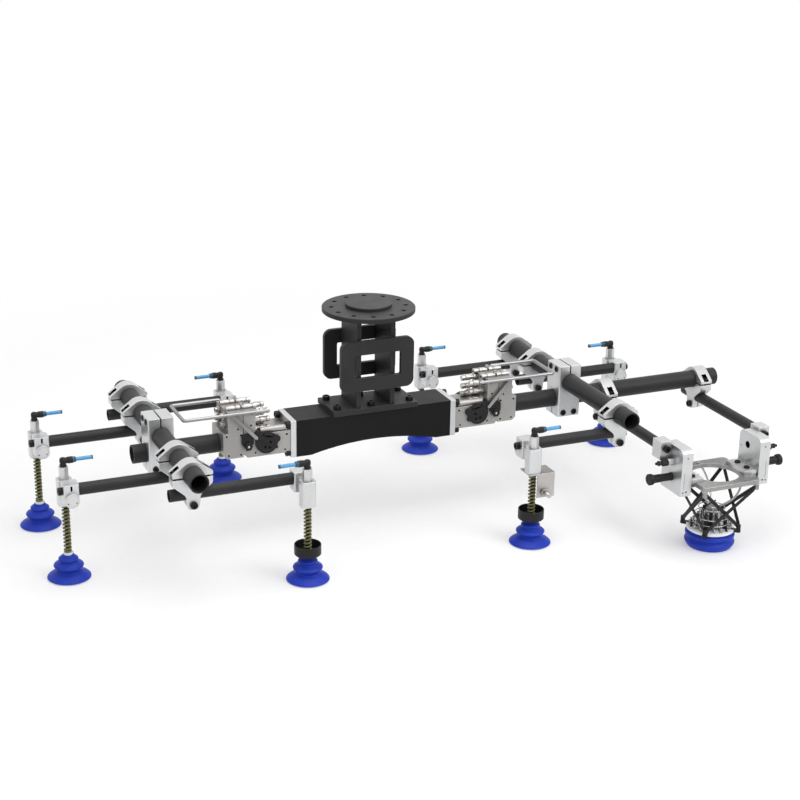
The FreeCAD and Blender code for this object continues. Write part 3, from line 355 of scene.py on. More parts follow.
# Mesh helpers: every form is a list of rings, or an outline, in millimetres.
# A ring is a radius and a height, and a negative radius makes a hexagon of that half width.
class Maker:
    def __init__(self):
        self.mesh = bmesh.new()

    def loft(self, rings, place, slot=0, steps=24, closed=False):
        made = []
        for radius, height in rings:
            ring = []
            for step in range(steps):
                angle = 2 * math.pi * step / steps
                reach = hexReach(-radius, angle) if radius < 0 else radius
                spot = place @ Vector((reach * math.cos(angle), reach * math.sin(angle), height))
                ring.append(self.mesh.verts.new(spot))
            made.append(ring)
        pairs = list(zip(made, made[1:]))
        if closed:
            pairs.append((made[-1], made[0]))
        for low, high in pairs:
            for step in range(steps):
                after = (step + 1) % steps
                face = self.mesh.faces.new((low[step], low[after], high[after], high[step]))
                face.material_index = slot
        if not closed:
            for ring in (made[0][::-1], made[-1]):
                self.mesh.faces.new(ring).material_index = slot

    def sweep(self, points, radius, slot=0, sides=10):
        made = []
        normal = None
        for index, spot in enumerate(points):
            before = points[max(index - 1, 0)]
            after = points[min(index + 1, len(points) - 1)]
            along = (after - before).normalized()
            if normal is None:
                normal = along.orthogonal().normalized()
            normal = (normal - along * normal.dot(along)).normalized()
            across = along.cross(normal)
            made.append([self.mesh.verts.new(spot + radius * (math.cos(2 * math.pi * k / sides) * normal
                         + math.sin(2 * math.pi * k / sides) * across)) for k in range(sides)])
        for low, high in zip(made, made[1:]):
            for k in range(sides):
                after = (k + 1) % sides
                self.mesh.faces.new((low[k], low[after], high[after], high[k])).material_index = slot
        for ring in (made[0][::-1], made[-1]):
            self.mesh.faces.new(ring).material_index = slot

    def plate(self, outline, low, high, place, slot=0):
        bottom = [self.mesh.verts.new(place @ Vector((x, y, low))) for x, y in outline]
        top = [self.mesh.verts.new(place @ Vector((x, y, high))) for x, y in outline]
        self.mesh.faces.new(bottom[::-1]).material_index = slot
        self.mesh.faces.new(top).material_index = slot
        count = len(outline)
        for k in range(count):
            after = (k + 1) % count
            self.mesh.faces.new((bottom[k], bottom[after], top[after], top[k])).material_index = slot

    def finish(self, name, body, finishNames, replaced=(), sharp=35):
        bmesh.ops.recalc_face_normals(self.mesh, faces=self.mesh.faces)
        for edge in self.mesh.edges:
            edge.smooth = len(edge.link_faces) == 2 and edge.calc_face_angle(0) < math.radians(sharp)
        for face in self.mesh.faces:
            face.smooth = True
        bmesh.ops.scale(self.mesh, vec=(mm, mm, mm), verts=self.mesh.verts)
        data = bpy.data.meshes.new(name)
        self.mesh.to_mesh(data)
        self.mesh.free()
        for look in finishNames:
            data.materials.append(looks[look])
        piece = bpy.data.objects.new(name, data)
        bpy.context.scene.collection.objects.link(piece)
        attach(piece, body)
        if replaced:
            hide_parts(*replaced)
        return piece


def hexReach(apothem, angle):
    return apothem / math.cos((angle + math.pi / 6) % (math.pi / 3) - math.pi / 6)


def at(x, y, z, direction=(0, 0, 1)):
    turn = Vector((0, 0, 1)).rotation_difference(Vector(direction)).to_matrix().to_4x4()
    return Matrix.Translation((x, y, z)) @ turn


def raised(profile, level):
    return [(radius, level + height) for radius, height in profile]


def rounded(profile, passes=2):
    for _ in range(passes):
        softer = [profile[0]]
        for (r0, z0), (r1, z1) in zip(profile, profile[1:]):
            softer.append((0.75 * r0 + 0.25 * r1, 0.75 * z0 + 0.25 * z1))
            softer.append((0.25 * r0 + 0.75 * r1, 0.25 * z0 + 0.75 * z1))
        profile = softer + [profile[-1]]
    return profile


# Socket head screws, one at the place of every plain one in the frame
screwShape = {"rim": 0.55, "socketDepth": 0.55, "socketShare": 0.47, "steps": 24, "smallHead": 5.5,
              "smallHeight": 6.0, "stubby": 17, "flat": 10}
knobBolt = {"flange": 1.8, "hexShare": 0.86, "crown": 1.2, "neckShare": 0.36, "neckDepth": 3.5}
lugDrop = 61  # the frame's lug screws below their clamp's ring; the jaws here bring their own bolt
lugLevels = (tubeLevel + crossRise - lugDrop, tubeLevel - lugDrop)


def looseParts(node):  # the points of each screw of a node that holds many
    mesh = bmesh.new()
    mesh.from_mesh(node.data)
    bmesh.ops.remove_doubles(mesh, verts=mesh.verts, dist=1e-6)
    seen = set()
    for start in mesh.verts:
        if start in seen:
            continue
        seen.add(start)
        found = [start]
        for vert in found:  # the list grows while it is walked
            for edge in vert.link_edges:
                other = edge.other_vert(vert)
                if other not in seen:
                    seen.add(other)
                    found.append(other)
        yield [vert.co / mm for vert in found]
    mesh.free()


def readScrew(points):  # top of the head, direction, radii and length
    low = Vector([min(p[k] for p in points) for k in range(3)])
    high = Vector([max(p[k] for p in points) for k in range(3)])
    size = high - low
    middle = (low + high) / 2
    axis = max(range(3), key=lambda k: size[k])
    if max(size) < screwShape["stubby"] and min(size) < screwShape["flat"]:
        axis = min(range(3), key=lambda k: size[k])  # a stubby one is widest across its head
    reaches = []
    for end in (low[axis], high[axis]):
        near = [p for p in points if abs(p[axis] - end) < 0.2]
        reaches.append(max(math.hypot(*[(p - middle)[k] for k in range(3) if k != axis]) for p in near))
    outward = Vector((0, 0, 0))
    outward[axis] = 1 if reaches[1] >= reaches[0] else -1
    top = middle + outward * size[axis] / 2
    return top, outward, max(reaches), min(reaches), size[axis]


def makeScrews():
    maker = Maker()
    for points in looseParts(nodes["socket_screws"]):
        top, outward, head, shank, length = readScrew(points)
        if head - shank < 0.5:  # a plain round body is a holder's knob bolt
            addKnobBolt(maker, points, length, head)
            continue
        if min(abs(top.z - level) for level in lugLevels) < 1:
            continue
        place = at(*top, outward)
        height = 2 * shank if head > screwShape["smallHead"] else screwShape["smallHeight"]
        depth = height * screwShape["socketDepth"]
        across = -head * screwShape["socketShare"]
        rim = screwShape["rim"]
        maker.loft([(shank, -length), (shank, -height), (head, -height), (head, -rim), (head - rim, 0),
                    (across * 1.08, 0), (across, -0.3), (across, -depth)], place, steps=screwShape["steps"])
    maker.finish("socketScrews", "frame", ["blackSteel"], ["socket_screws"])


def addKnobBolt(maker, points, length, radius):
    middle = sum(points, Vector()) / len(points)
    outward = Vector((-1, 0, 0)) if nearestHolder(middle) > 0 else Vector((1, 0, 0))
    top = middle + outward * length / 2
    place = at(*top, outward)
    flange = knobBolt["flange"]
    hexagon = -radius * knobBolt["hexShare"]
    neck = -radius * knobBolt["neckShare"]
    maker.loft([(radius, -length), (radius, -length + flange), (radius - 0.6, -length + flange + 0.4),
                (hexagon, -length + flange + 0.6), (hexagon, -knobBolt["crown"]), (radius * 0.72, 0),
                (radius * 0.42, 0), (neck, -0.6), (neck, -knobBolt["neckDepth"])], place)


# Ring clamps: centre and turn about the vertical; the jaws narrow to a lug with one bolt
crossClamps = [(482, 251), (482, 135), (482, -243), (-471, 135), (-471, -142), (-471, -241), (-471, 246)]
clampPlaces = [(x, y, crossRise, 0) for x, y in crossClamps] + [(587.2, 0, 0, -90), (838.8, 0, 0, -90)]
jaw = {"half": 14.5, "bore": 20.03, "split": -6, "smallBore": 12.53, "smallLevel": -42, "slit": 1.25,
       "boltLevel": -62, "boltRadius": 7.8, "boltProud": 5.5,
       "side": [(40.4, -6), (40.4, -17), (38.5, -21), (17, -40), (14.2, -46), (12.6, -64), (9.5, -70.5), (6, -71.6)]}
pocket = {"x0": 25.15, "x1": 40.85, "half": 6.45, "floor": 3.05, "low": 5.0, "high": 16.6, "sheet": 0.2}


def jawOutline():
    side = jaw["side"]
    start = math.asin(-jaw["split"] / jaw["bore"])
    steps = 28
    turns = [math.pi + start + (math.pi - 2 * start) * k / steps for k in range(steps + 1)]
    arc = [(jaw["bore"] * math.cos(turn), jaw["bore"] * math.sin(turn)) for turn in turns]
    return side + [(-x, z) for x, z in reversed(side)] + arc


def cutAway(target, cutters):
    collection = bpy.context.scene.collection
    objects = [bpy.data.objects.new("rough", mesh) for mesh in [target] + cutters]
    for item in objects:
        collection.objects.link(item)
    for cutter in objects[1:]:
        modifier = objects[0].modifiers.new("cut", "BOOLEAN")
        modifier.operation = "DIFFERENCE"
        modifier.solver = "EXACT"
        modifier.object = cutter
    bpy.context.view_layer.update()
    depsgraph = bpy.context.evaluated_depsgraph_get()
    result = bpy.data.meshes.new_from_object(objects[0].evaluated_get(depsgraph))
    for item in objects:
        bpy.data.objects.remove(item)
    return result


def meshOf(maker, name):
    bmesh.ops.recalc_face_normals(maker.mesh, faces=maker.mesh.faces)
    mesh = bpy.data.meshes.new(name)
    maker.mesh.to_mesh(mesh)
    maker.mesh.free()
    return mesh


upright = Matrix(((1, 0, 0, 0), (0, 0, 1, 0), (0, 1, 0, 0), (0, 0, 0, 1)))  # an outline in x and z, its depth in y


def makeClampJaws():
    body, bore, slit = Maker(), Maker(), Maker()
    body.plate(jawOutline(), -jaw["half"], jaw["half"], upright)
    bore.loft([(jaw["smallBore"], -60), (jaw["smallBore"], 60)], at(0, 0, jaw["smallLevel"], (1, 0, 0)), steps=40)
    gap, top, bottom = jaw["slit"], jaw["smallLevel"], -100
    slit.plate([(-60, bottom), (60, bottom), (60, top), (-60, top)], -gap, gap, upright)
    mesh = cutAway(meshOf(body, "jawBody"), [meshOf(bore, "jawBore"), meshOf(slit, "jawSlit")])
    maker = Maker()
    for x, y, z, turn in clampPlaces:
        place = Matrix.Translation((x, y, z + tubeLevel)) @ Matrix.Rotation(math.radians(turn), 4, "Z")
        count = len(maker.mesh.verts)
        maker.mesh.from_mesh(mesh)
        maker.mesh.verts.ensure_lookup_table()
        for vert in maker.mesh.verts[count:]:
            vert.co = place @ vert.co
        bolt = place @ at(0, -jaw["half"], jaw["boltLevel"], (0, -1, 0))
        radius, crown = jaw["boltRadius"], jaw["boltProud"]
        maker.loft([(5, -8), (5, 0), (radius, 0), (radius, crown - 0.8), (radius - 0.8, crown),
                    (-radius * 0.5, crown), (-radius * 0.48, crown - 3)], bolt, slot=1, steps=30)
        paintPocketShade(maker, place)
    maker.finish("clampJaws", "frame", ["aluminium", "blackSteel", "holeShadeAndBlack"], ["clamp_jaws"])


def paintPocketShade(maker, place):  # dark sheets inside the caps' two screw pockets, painted shade
    x0, x1, half, sheet = pocket["x0"], pocket["x1"], pocket["half"], pocket["sheet"]
    floor, low, high = pocket["floor"], pocket["low"], pocket["high"]
    for side in (-1, 1):
        wall = [(side * x, z) for x, z in ((x0, floor), (x1, floor), (x1, low), (x0, high))]
        for y in (-half, half - sheet):
            maker.plate(wall, y, y + sheet, place @ upright, slot=2)
        flat = [(side * x0, -half), (side * x1, -half), (side * x1, half), (side * x0, half)]
        maker.plate(flat, floor, floor + sheet, place, slot=2)
        end = [(side * x0, floor), (side * (x0 + sheet), floor), (side * (x0 + sheet), high), (side * x0, high)]
        maker.plate(end, -half, half, place @ upright, slot=2)


makeClampJaws()
print("clamps made")


# Cup units: plunger x and y, direction to the cross tube, side of the plunger
units = {"a": (259, 293, 1, 1), "b": (705, 177, -1, 1), "c": (259, -285, 1, -1), "d": (-692, 177, 1, 1),
         "e": (-692, -100, 1, 1), "f": (-244, -283, -1, -1), "g": (-244, 288, -1, 1)}
holder = {"reach": 42, "half": 15.5}  # its tube's axis from the plunger's, and half its depth there


def nearestHolder(spot):
    def distance(unit):
        return math.hypot(unit[0] - spot.x, unit[1] - holder["reach"] * unit[3] - spot.y)
    return min(units.values(), key=distance)[2]


makeScrews()
print("screws made")


# The plungers' levels over the main tubes' axis, and their springs and rods
heights = {"barrelBottom": -46, "lip": -204.7, "cupTop": -155.7, "collarTop": -150.7, "elbowStart": 35.4}
height = {key: value + tubeLevel for key, value in heights.items()}
springShape = {"coilRadius": 6.2, "wire": 2.2, "pitch": 7.8, "stepsPerTurn": 20, "stroke": 20}


def makeSpring(letter, x, y, seat):
    low, high = seat, height["barrelBottom"]
    wire, reach = springShape["wire"], springShape["coilRadius"]
    turns = (high - low - 2 * wire) / springShape["pitch"]
    total = turns + 2
    points = []
    count = int(total * springShape["stepsPerTurn"])
    for step in range(count + 1):
        turn = total * step / count
        rise = min(max(turn - 1, 0), turns) / turns
        angle = 2 * math.pi * turn
        level = low + wire + rise * (high - low - 2 * wire)
        points.append(Vector((x + reach * math.cos(angle), y + reach * math.sin(angle), level)))
    maker = Maker()
    maker.sweep(points, wire, sides=8)
    piece = maker.finish("spring_" + letter + "_coil", "plunger_" + letter, ["springWire"],
                         ["spring_" + letter])
    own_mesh(piece)


rodShape = {"rod": 5, "core": 3.9, "collar": 9, "nipple": 6, "guardOuter": 27.5, "guardInner": 25.5,
            "guardHeight": 22, "guardFloor": 2}


def makeRod(letter, x, y, side):
    top = height["elbowStart"] + 5
    cupTop, collarTop = height["cupTop"], height["collarTop"]
    rod, collar = rodShape["rod"], rodShape["collar"]
    core, shoulder = rodShape["core"], height["barrelBottom"] + 1
    maker = Maker()
    place = at(x, y, 0)
    maker.loft([(core, collarTop), (core, shoulder)], place, slot=3)
    maker.loft([(core, shoulder), (rod, shoulder + 1), (rod, top - 0.4), (rod - 0.4, top)], place)
    maker.loft([(rodShape["nipple"], cupTop - 7), (rodShape["nipple"], cupTop), (collar, cupTop),
                (collar + 0.4, cupTop + 1.2), (collar + 0.4, collarTop - 2), (collar - 1, collarTop - 0.6),
                (collar - 2, collarTop), (rod, collarTop)], place, slot=1, steps=32)
    stud = at(x + collar - 1.2, y, cupTop + 2.6, (1, 0, 0))
    maker.loft([(1.6, 0), (1.6, 2.2), (1.1, 2.6)], stud, slot=2, steps=12)
    if side < 0:
        outer, inner = rodShape["guardOuter"], rodShape["guardInner"]
        rim, inside = collarTop + rodShape["guardHeight"], collarTop + rodShape["guardFloor"]
        maker.loft([(rod, collarTop), (outer - 1.5, collarTop), (outer, collarTop + 1.5), (outer, rim - 0.6),
                    (outer - 0.6, rim), (inner + 0.4, rim), (inner, rim - 0.4), (inner, inside + 0.6),
                    (inner - 0.6, inside), (rod, inside)], place, slot=2, steps=48, closed=True)
    maker.finish("plungerRod_" + letter, "plunger_" + letter,
                 ["brightSteel", "whitePlastic", "blackPlastic", "blackSteel"],
                 ["rod_" + letter])


# Bellows: half profile down the outside and up the inside, radius and height above the lip
bellows = {
    "outside": [(6, 49), (11.2, 49), (13.2, 46.8), (14.4, 45.0), (19.8, 41.4), (20.4, 38.8), (18.8, 36.2),
                (18.2, 34.6), (23, 31.4), (29.8, 27.8), (31.0, 24.6), (27.2, 20.2), (24.4, 17.0), (24.4, 14.6),
                (29, 11.4), (36, 7.4), (42.4, 3.2), (44.3, 0.9)],
    "edge": [(44.4, 0.3), (43.9, 0.0)],
    "inside": [(41.0, 1.6), (34.0, 5.4), (26.0, 9.6), (21.6, 13.0), (22.2, 16.2), (26.0, 20.6), (28.8, 24.4),
               (23.0, 28.6), (15.8, 33.0), (16.6, 36.4), (18.0, 39.2), (13.0, 42.0), (8.0, 43.0), (6, 43)],
}


def bellowsRings(shape):
    return rounded(shape["outside"]) + shape["edge"] + rounded(shape["inside"])


def makeCup(letter, x, y):
    maker = Maker()
    maker.loft(bellowsRings(bellows), at(x, y, height["lip"]), steps=72, closed=True)
    maker.finish("bellowsCup_" + letter, "plunger_" + letter, ["blueSilicone"], ["cup_" + letter],
                 sharp=60)


# Elbows: profiles from the foot up, along the barrel, and about the barrel's end
elbowShape = {
    "axis": 11.5, "barrelEnd": 22, "hoseEnd": 60, "hose": 4, "bore": 2.75, "tip": 3,
    "foot": [(-5.8, 0), (-6.4, 0.5), (-6.4, 3.8), (-5.8, 4.3), (5.6, 4.4), (5.6, 6), (6.6, 7.4), (6.8, 12),
             (6.6, 14.5), (5.6, 16.8), (3.6, 18.1), (1.2, 18.4)],
    "barrel": [(1.2, -6.6), (3.6, -6), (5.6, -4.2), (6.6, -1), (6.7, 3), (6.1, 6), (6.1, 8.4), (6.9, 9.6)],
    "mouth": [(7.0, -4), (6.7, -3)],
    "collet": [(4.1, -4), (6.6, -3.4), (6.7, -1.2), (6.2, -0.6), (5.4, -0.4), (5.4, 1.4), (6.0, 1.8), (6.0, 3.2),
               (5.4, 3.8), (4.1, 3.8)],
}


def makeElbow(letter, x, y, towards):
    maker = Maker()
    start, end = height["elbowStart"], elbowShape["barrelEnd"]
    hose, bore = elbowShape["hose"], elbowShape["bore"]
    tip, ring = elbowShape["hoseEnd"], elbowShape["hoseEnd"] - elbowShape["tip"]
    maker.loft(elbowShape["foot"], at(x, y, start))
    place = at(x, y, start + elbowShape["axis"], (towards, 0, 0))
    maker.loft(elbowShape["barrel"] + raised(elbowShape["mouth"], end), place)
    maker.loft(raised(elbowShape["collet"], end), place, slot=1, closed=True)
    maker.loft([(hose, end - 8), (hose, ring), (bore, ring), (bore, end - 8)], place, slot=2, closed=True)
    maker.loft([(hose + 0.15, ring), (hose + 0.15, tip), (bore, tip), (bore, ring)], place, slot=1, closed=True)
    # a near-black disc inside the hose's bore, painted shade
    maker.loft([(0.4, tip - 2.6), (bore - 0.05, tip - 2.4), (bore - 0.05, tip - 4), (0.4, tip - 4)], place, slot=3)
    maker.finish("elbow_" + letter + "_fitting", "plunger_" + letter,
                 ["blackPlastic", "colletTeal", "hoseBlue", "holeShadeAndBlack"], ["elbow_" + letter])


# Slit, ring and two marks on the boss of every cup holder; the slit is a dark sheet, painted shade
boss = {"x": 2.5, "slitHalf": 1.9, "slitLow": 2.6, "slitHigh": 13.6, "level": -16, "ring": 12.4, "back": 5,
        "dotReach": 9.5, "dot": 1.3}


def makeHolderMarks():
    maker = Maker()
    for x, y, towards, side in units.values():
        face = y - side * (holder["reach"] + holder["half"])
        middle = x + towards * boss["x"]
        low, high = boss["slitLow"] + tubeLevel, boss["slitHigh"] + tubeLevel
        half = boss["slitHalf"]
        slit = [(middle - half, low + 1), (middle, low), (middle + half, low + 1), (middle + half, high),
                (middle - half, high)]
        # the slit's near-black sheet is painted shade
        maker.plate(slit, face - proud, face + proud, upright, slot=1)
        place = at(middle, face - side * boss["back"], boss["level"] + tubeLevel, (0, -side, 0))
        outer, inner = boss["ring"], boss["ring"] - 0.7
        maker.loft([(outer, -0.2), (outer, proud), (inner, proud), (inner, -0.2)], place, steps=48, closed=True)
        for turn in (-150, -30):
            angle = math.radians(turn)
            reach = boss["dotReach"]
            spot = place @ Matrix.Translation((reach * math.cos(angle), reach * math.sin(angle), 0))
            maker.loft([(boss["dot"], -0.2), (boss["dot"], 0.15)], spot, slot=1, steps=14)
    maker.finish("holderMarks", "frame", ["couplerMetal", "holeShadeAndBlack"])


for letter, (x, y, towards, side) in units.items():
    makeSpring(letter, x, y, height["collarTop"] + (rodShape["guardFloor"] if side < 0 else 0))
    makeRod(letter, x, y, side)
    makeCup(letter, x, y)
    makeElbow(letter, x, y, towards)
makeHolderMarks()


# Nut and threaded end of the sensor on the bracket of unit c
sensor = {"x": 279.5, "face": -300, "level": -88.0, "nut": 8.8, "nutLength": 6, "thread": 4.2, "end": 27,
          "pitch": 1.4, "cut": 0.5}


def makeSensorNut():
    maker = Maker()
    place = at(sensor["x"], sensor["face"], sensor["level"] + tubeLevel, (0, -1, 0))
    nut, length, thread = sensor["nut"], sensor["nutLength"], sensor["thread"]
    maker.loft([(nut, -0.2), (nut, length), (thread, length)], place, steps=6)
    turns = []
    level = length
    while level < sensor["end"] - 1.5:
        turns += [(thread, level), (thread - sensor["cut"], level + sensor["pitch"] / 2)]
        level += sensor["pitch"]
    maker.loft(turns + [(thread - 0.6, sensor["end"])], place, slot=1, steps=18)
    maker.finish("sensorNut", "frame", ["satinSilver", "brightSteel"])


makeSensorNut()
print("cup units made")


# Large bellows under the head
head = {"x": 713, "y": -285, "platformTop": -240 + tubeLevel, "lip": -284.5 + tubeLevel}
headBellows = {
    "outside": [(4, 38.5), (40, 38.5), (46.4, 38.3), (47.4, 36.5), (50, 34.5), (54.6, 31.8), (55.0, 28),
                (54.4, 24.6), (50.0, 20.8), (49.2, 19.0), (51.5, 16.4), (55.2, 13.4), (55.6, 10.4), (54.8, 7.6),
                (51.6, 3.0), (50.4, 0.6)],
    "edge": [(50.0, 0.0), (48.6, 0.0)],
    "inside": [(47.8, 1.6), (50.6, 6.0), (52.6, 10.2), (50.8, 13.2), (46.6, 18.6), (50.4, 23.6), (52.2, 29.0),
               (47, 33.2), (40, 34.5), (4, 34.5)],
}


def makeHeadBellows():
    maker = Maker()
    maker.loft(bellowsRings(headBellows), at(head["x"], head["y"], head["lip"]), steps=96, closed=True)
    maker.finish("headBellows", "frame", ["blueSilicone"], ["head_cup"], sharp=60)


makeHeadBellows()


# Air couplings: sockets with a hexagon at the block and a sleeve at the tip
coupling = {"rows": (29.5, 48, 67), "across": (-20, 20), "seat": 270, "tip": 233,
            "socket": [(-6.4, 0), (-6.4, 7), (5.4, 7.6), (4.9, 8.2), (4.9, 15), (6.4, 15.8), (6.5, 26.4),
                       (6.0, 27.2), (4.8, 27.6), (4.8, 29.6), (6.4, 30.2)],
            "mouth": [(6.4, -1), (5.6, 0), (4.2, 0)], "bore": [(4.1, -0.2), (4.1, -5), (1.2, -5)]}


def makeCouplings():
    maker = Maker()
    span = coupling["seat"] - coupling["tip"]
    for side in (-1, 1):
        for y in coupling["across"]:
            for z in coupling["rows"]:
                place = at(side * coupling["seat"], y, z + tubeLevel, (-side, 0, 0))
                maker.loft(coupling["socket"] + raised(coupling["mouth"], span), place)
                # the socket's bore in the near-black finish is painted shade
                maker.loft(raised(coupling["bore"], span), place, slot=1)
    maker.finish("airCouplingSockets", "frame", ["satinSilver", "holeShadeAndBlack"], ["air_couplings"])


makeCouplings()


# Small screws on the couplers' faces, by x, height and radius, and what stands on their air blocks
couplerDots = [(201, 15, 2.6), (271, -18, 2.2), (303, 26, 2.4), (334, 26, 2.4), (303, -18, 2.4), (330, -17, 2.4),
               (318, 70, 2.2), (278, 70, 2.2), (309, 40, 2.2), (280, 45, 2.2), (205, -19, 2.2)]
airBlock = {"face": 40, "seam": (296.65, 297.65), "seamLow": 23, "seamHigh": 78.4, "cylinderLevel": 80,
            "cylinders": [(262, 294), (298, 329)], "plugX": 296, "plugLevel": 78, "capX": (283, 312),
            "capLevel": 78.5, "endX": 330, "endRows": (48, 67),
            "cylinder": [(4.6, 0), (6.4, 0.8), (6.4, 9), (4.9, 9.8), (4.9, 13), (6.6, 13.6)],
            "cylinderEnd": [(6.6, -4), (5.6, -3.4), (5.6, 0)],
            "plug": [(4.2, 0), (4.2, 9), (-3.4, 9.4), (-3.4, 12.4), (2.2, 12.8)],
            "cap": [(3.4, -1), (3.4, 1.6), (2.8, 2.2), (1.6, 2.2)],
            "end": [(-7.2, -0.5), (-7.2, 5), (5.2, 5.6), (5.2, 10), (4.4, 10.8), (2.6, 10.8)]}
# Cams: arms as pairs of circles, each x, height and radius about the disc's centre; they turn about the axle
cam = {"x": 246.5, "z": 3, "near": -40.6, "depth": 4.5, "layerStep": 0.22, "axleX": 241, "axleZ": -1,
       "arms": [((0, 0, 24), (0, 0, 24)), ((-8, 3, 14), (-22, 6, 8)), ((6, 6, 16), (18.5, 19, 9)),
                ((-14, -8, 7), (-21.5, -12.5, 3.4))],
       "slot": [(-16, 9.5), (6, 14.5), (11, 19.5), (8, 21), (3, 18.5), (-16.5, 14.5)],
       "pins": [(239, 4), (251, -6), (241, -8)], "axle": [(8, -86), (8, -0.5)],
       "hub": [(5.2, -0.5), (5.2, 0.7), (4.6, 1.1), (-2.4, 1.1), (-2.4, 0.3)],
       "ring": [(19, -0.3), (19, 0.3), (18.5, 0.5), (17, 0.5), (16.6, 0.2), (16.6, -0.3)],
       "pin": [(2.2, -1), (2.2, 0.9), (1.6, 1.3), (0.8, 1.3)]}


def roundedLink(start, end, steps=20):  # outline round two circles, or round one where both are the same
    (x0, z0, r0), (x1, z1, r1) = start, end
    length = math.hypot(x1 - x0, z1 - z0)
    if length == 0:
        turns = [2 * math.pi * k / 48 for k in range(48)]
        return [(x0 + r0 * math.cos(turn), z0 + r0 * math.sin(turn)) for turn in turns]
    heading = math.atan2(z1 - z0, x1 - x0)
    lean = math.acos((r0 - r1) / length)
    outline = []
    for k in range(steps + 1):
        turn = heading - lean + 2 * lean * k / steps
        outline.append((x1 + r1 * math.cos(turn), z1 + r1 * math.sin(turn)))
    for k in range(steps + 1):
        turn = heading + lean + (2 * math.pi - 2 * lean) * k / steps
        outline.append((x0 + r0 * math.cos(turn), z0 + r0 * math.sin(turn)))
    return outline


def makeCam(side, name):
    maker = Maker()
    near, far = cam["near"], cam["near"] - cam["depth"]
    middle = cam["z"] + tubeLevel
    for face in (-1, 1):
        for layer, (start, end) in enumerate(cam["arms"]):
            outline = [(side * (x + cam["x"]), z + middle) for x, z in roundedLink(start, end)]
            inner, outer = face * -near, face * (-far - cam["layerStep"] * layer)
            maker.plate(outline, min(inner, outer), max(inner, outer), upright)
        # the slot is a thin near-black sheet on each face, painted shade
        slot = [(side * (x + cam["x"]), z + middle) for x, z in cam["slot"]]
        maker.plate(slot, face * -far - 0.15, face * -far + 0.15, upright, slot=1)
    place = at(side * cam["x"], far, middle, (0, -1, 0))
    axle = at(side * cam["axleX"], far, cam["axleZ"] + tubeLevel, (0, -1, 0))
    maker.loft(cam["axle"], axle, steps=28)
    maker.loft(cam["hub"], place, steps=28)
    maker.loft(cam["ring"], place, steps=48)
    for x, z in cam["pins"]:
        spot = at(side * x, far, z + tubeLevel, (0, -1, 0))
        maker.loft(cam["pin"], spot, slot=1, steps=16)
    maker.finish("camPlates_" + name, "handle_" + name, ["blackPlastic", "holeShadeAndBlack"],
                 ["cam_" + name])


def addFaceScrews(maker, side):
    for face in (-1, 1):
        for x, z, radius in couplerDots:
            place = at(side * x, face * airBlock["face"], z + tubeLevel, (0, face, 0))
            rim = radius + 1.1
            maker.loft([(rim, -1), (rim, 0.2), (rim - 0.4, 0.4), (radius, 0.4)], place, steps=20)
            maker.loft([(radius, -1), (radius, 0.42)], place, slot=1, steps=20)


def addTopCylinders(maker, side, y):
    for start, end in airBlock["cylinders"]:
        place = at(side * start, y, airBlock["cylinderLevel"] + tubeLevel, (side, 0, 0))
        maker.loft(airBlock["cylinder"] + raised(airBlock["cylinderEnd"], end - start), place)
        maker.loft([(3.0, -0.1), (3.0, 0.3)], place, slot=1, steps=20)
    plug = at(side * airBlock["plugX"], y, airBlock["plugLevel"] + tubeLevel)
    maker.loft(airBlock["plug"], plug, steps=20)


def addSeam(maker, side):  # between the robot's half of the air block and the tool's
    x0, x1 = (side * x for x in airBlock["seam"])
    low, high = airBlock["seamLow"] + tubeLevel, airBlock["seamHigh"] + tubeLevel
    for level in (-airBlock["face"], airBlock["face"]):
        maker.plate([(x0, low), (x1, low), (x1, high), (x0, high)], level - proud, level + proud, upright, slot=1)


def addCapScrews(maker, side):
    for x in airBlock["capX"]:
        place = at(side * x, 0, airBlock["capLevel"] + tubeLevel)
        maker.loft(airBlock["cap"], place, steps=20)
        # the near-black disc in the cap is the socket's painted shade
        maker.loft([(1.6, 1), (1.6, 2.3)], place, slot=1, steps=20)


def addEndFittings(maker, side, y):
    for z in airBlock["endRows"]:
        place = at(side * airBlock["endX"], y, z + tubeLevel, (side, 0, 0))
        maker.loft(airBlock["end"], place)
        # the near-black core is painted shade in the fitting's bore
        maker.loft([(2.6, 6), (2.6, 10.9)], place, slot=1)


def makeCouplerFittings():
    maker = Maker()
    for side in (-1, 1):
        addFaceScrews(maker, side)
        for y in coupling["across"]:
            addTopCylinders(maker, side, y)
            addEndFittings(maker, side, y)
        addSeam(maker, side)
        addCapScrews(maker, side)
    maker.finish("couplerFittings", "frame", ["satinSilver", "holeShadeAndBlack"])


makeCouplerFittings()
makeCam(-1, "left")
makeCam(1, "right")


# Latches beside the couplers: a squarish body with a hexagon knob
latch = {"x": 288.5, "bodyZ": 14, "near": -39.9, "far": -45.1, "corner": 5, "half": 12.5, "knobY": -40.6,
         "knobZ": 0.5, "knob": [(9.4, 4.5), (9.4, 8.6), (8.4, 9.4), (-5.2, 9.4), (-4.6, 7.4)],
         "screw": [(2.8, 7.3), (2.8, 9.3), (2.2, 9.7)]}


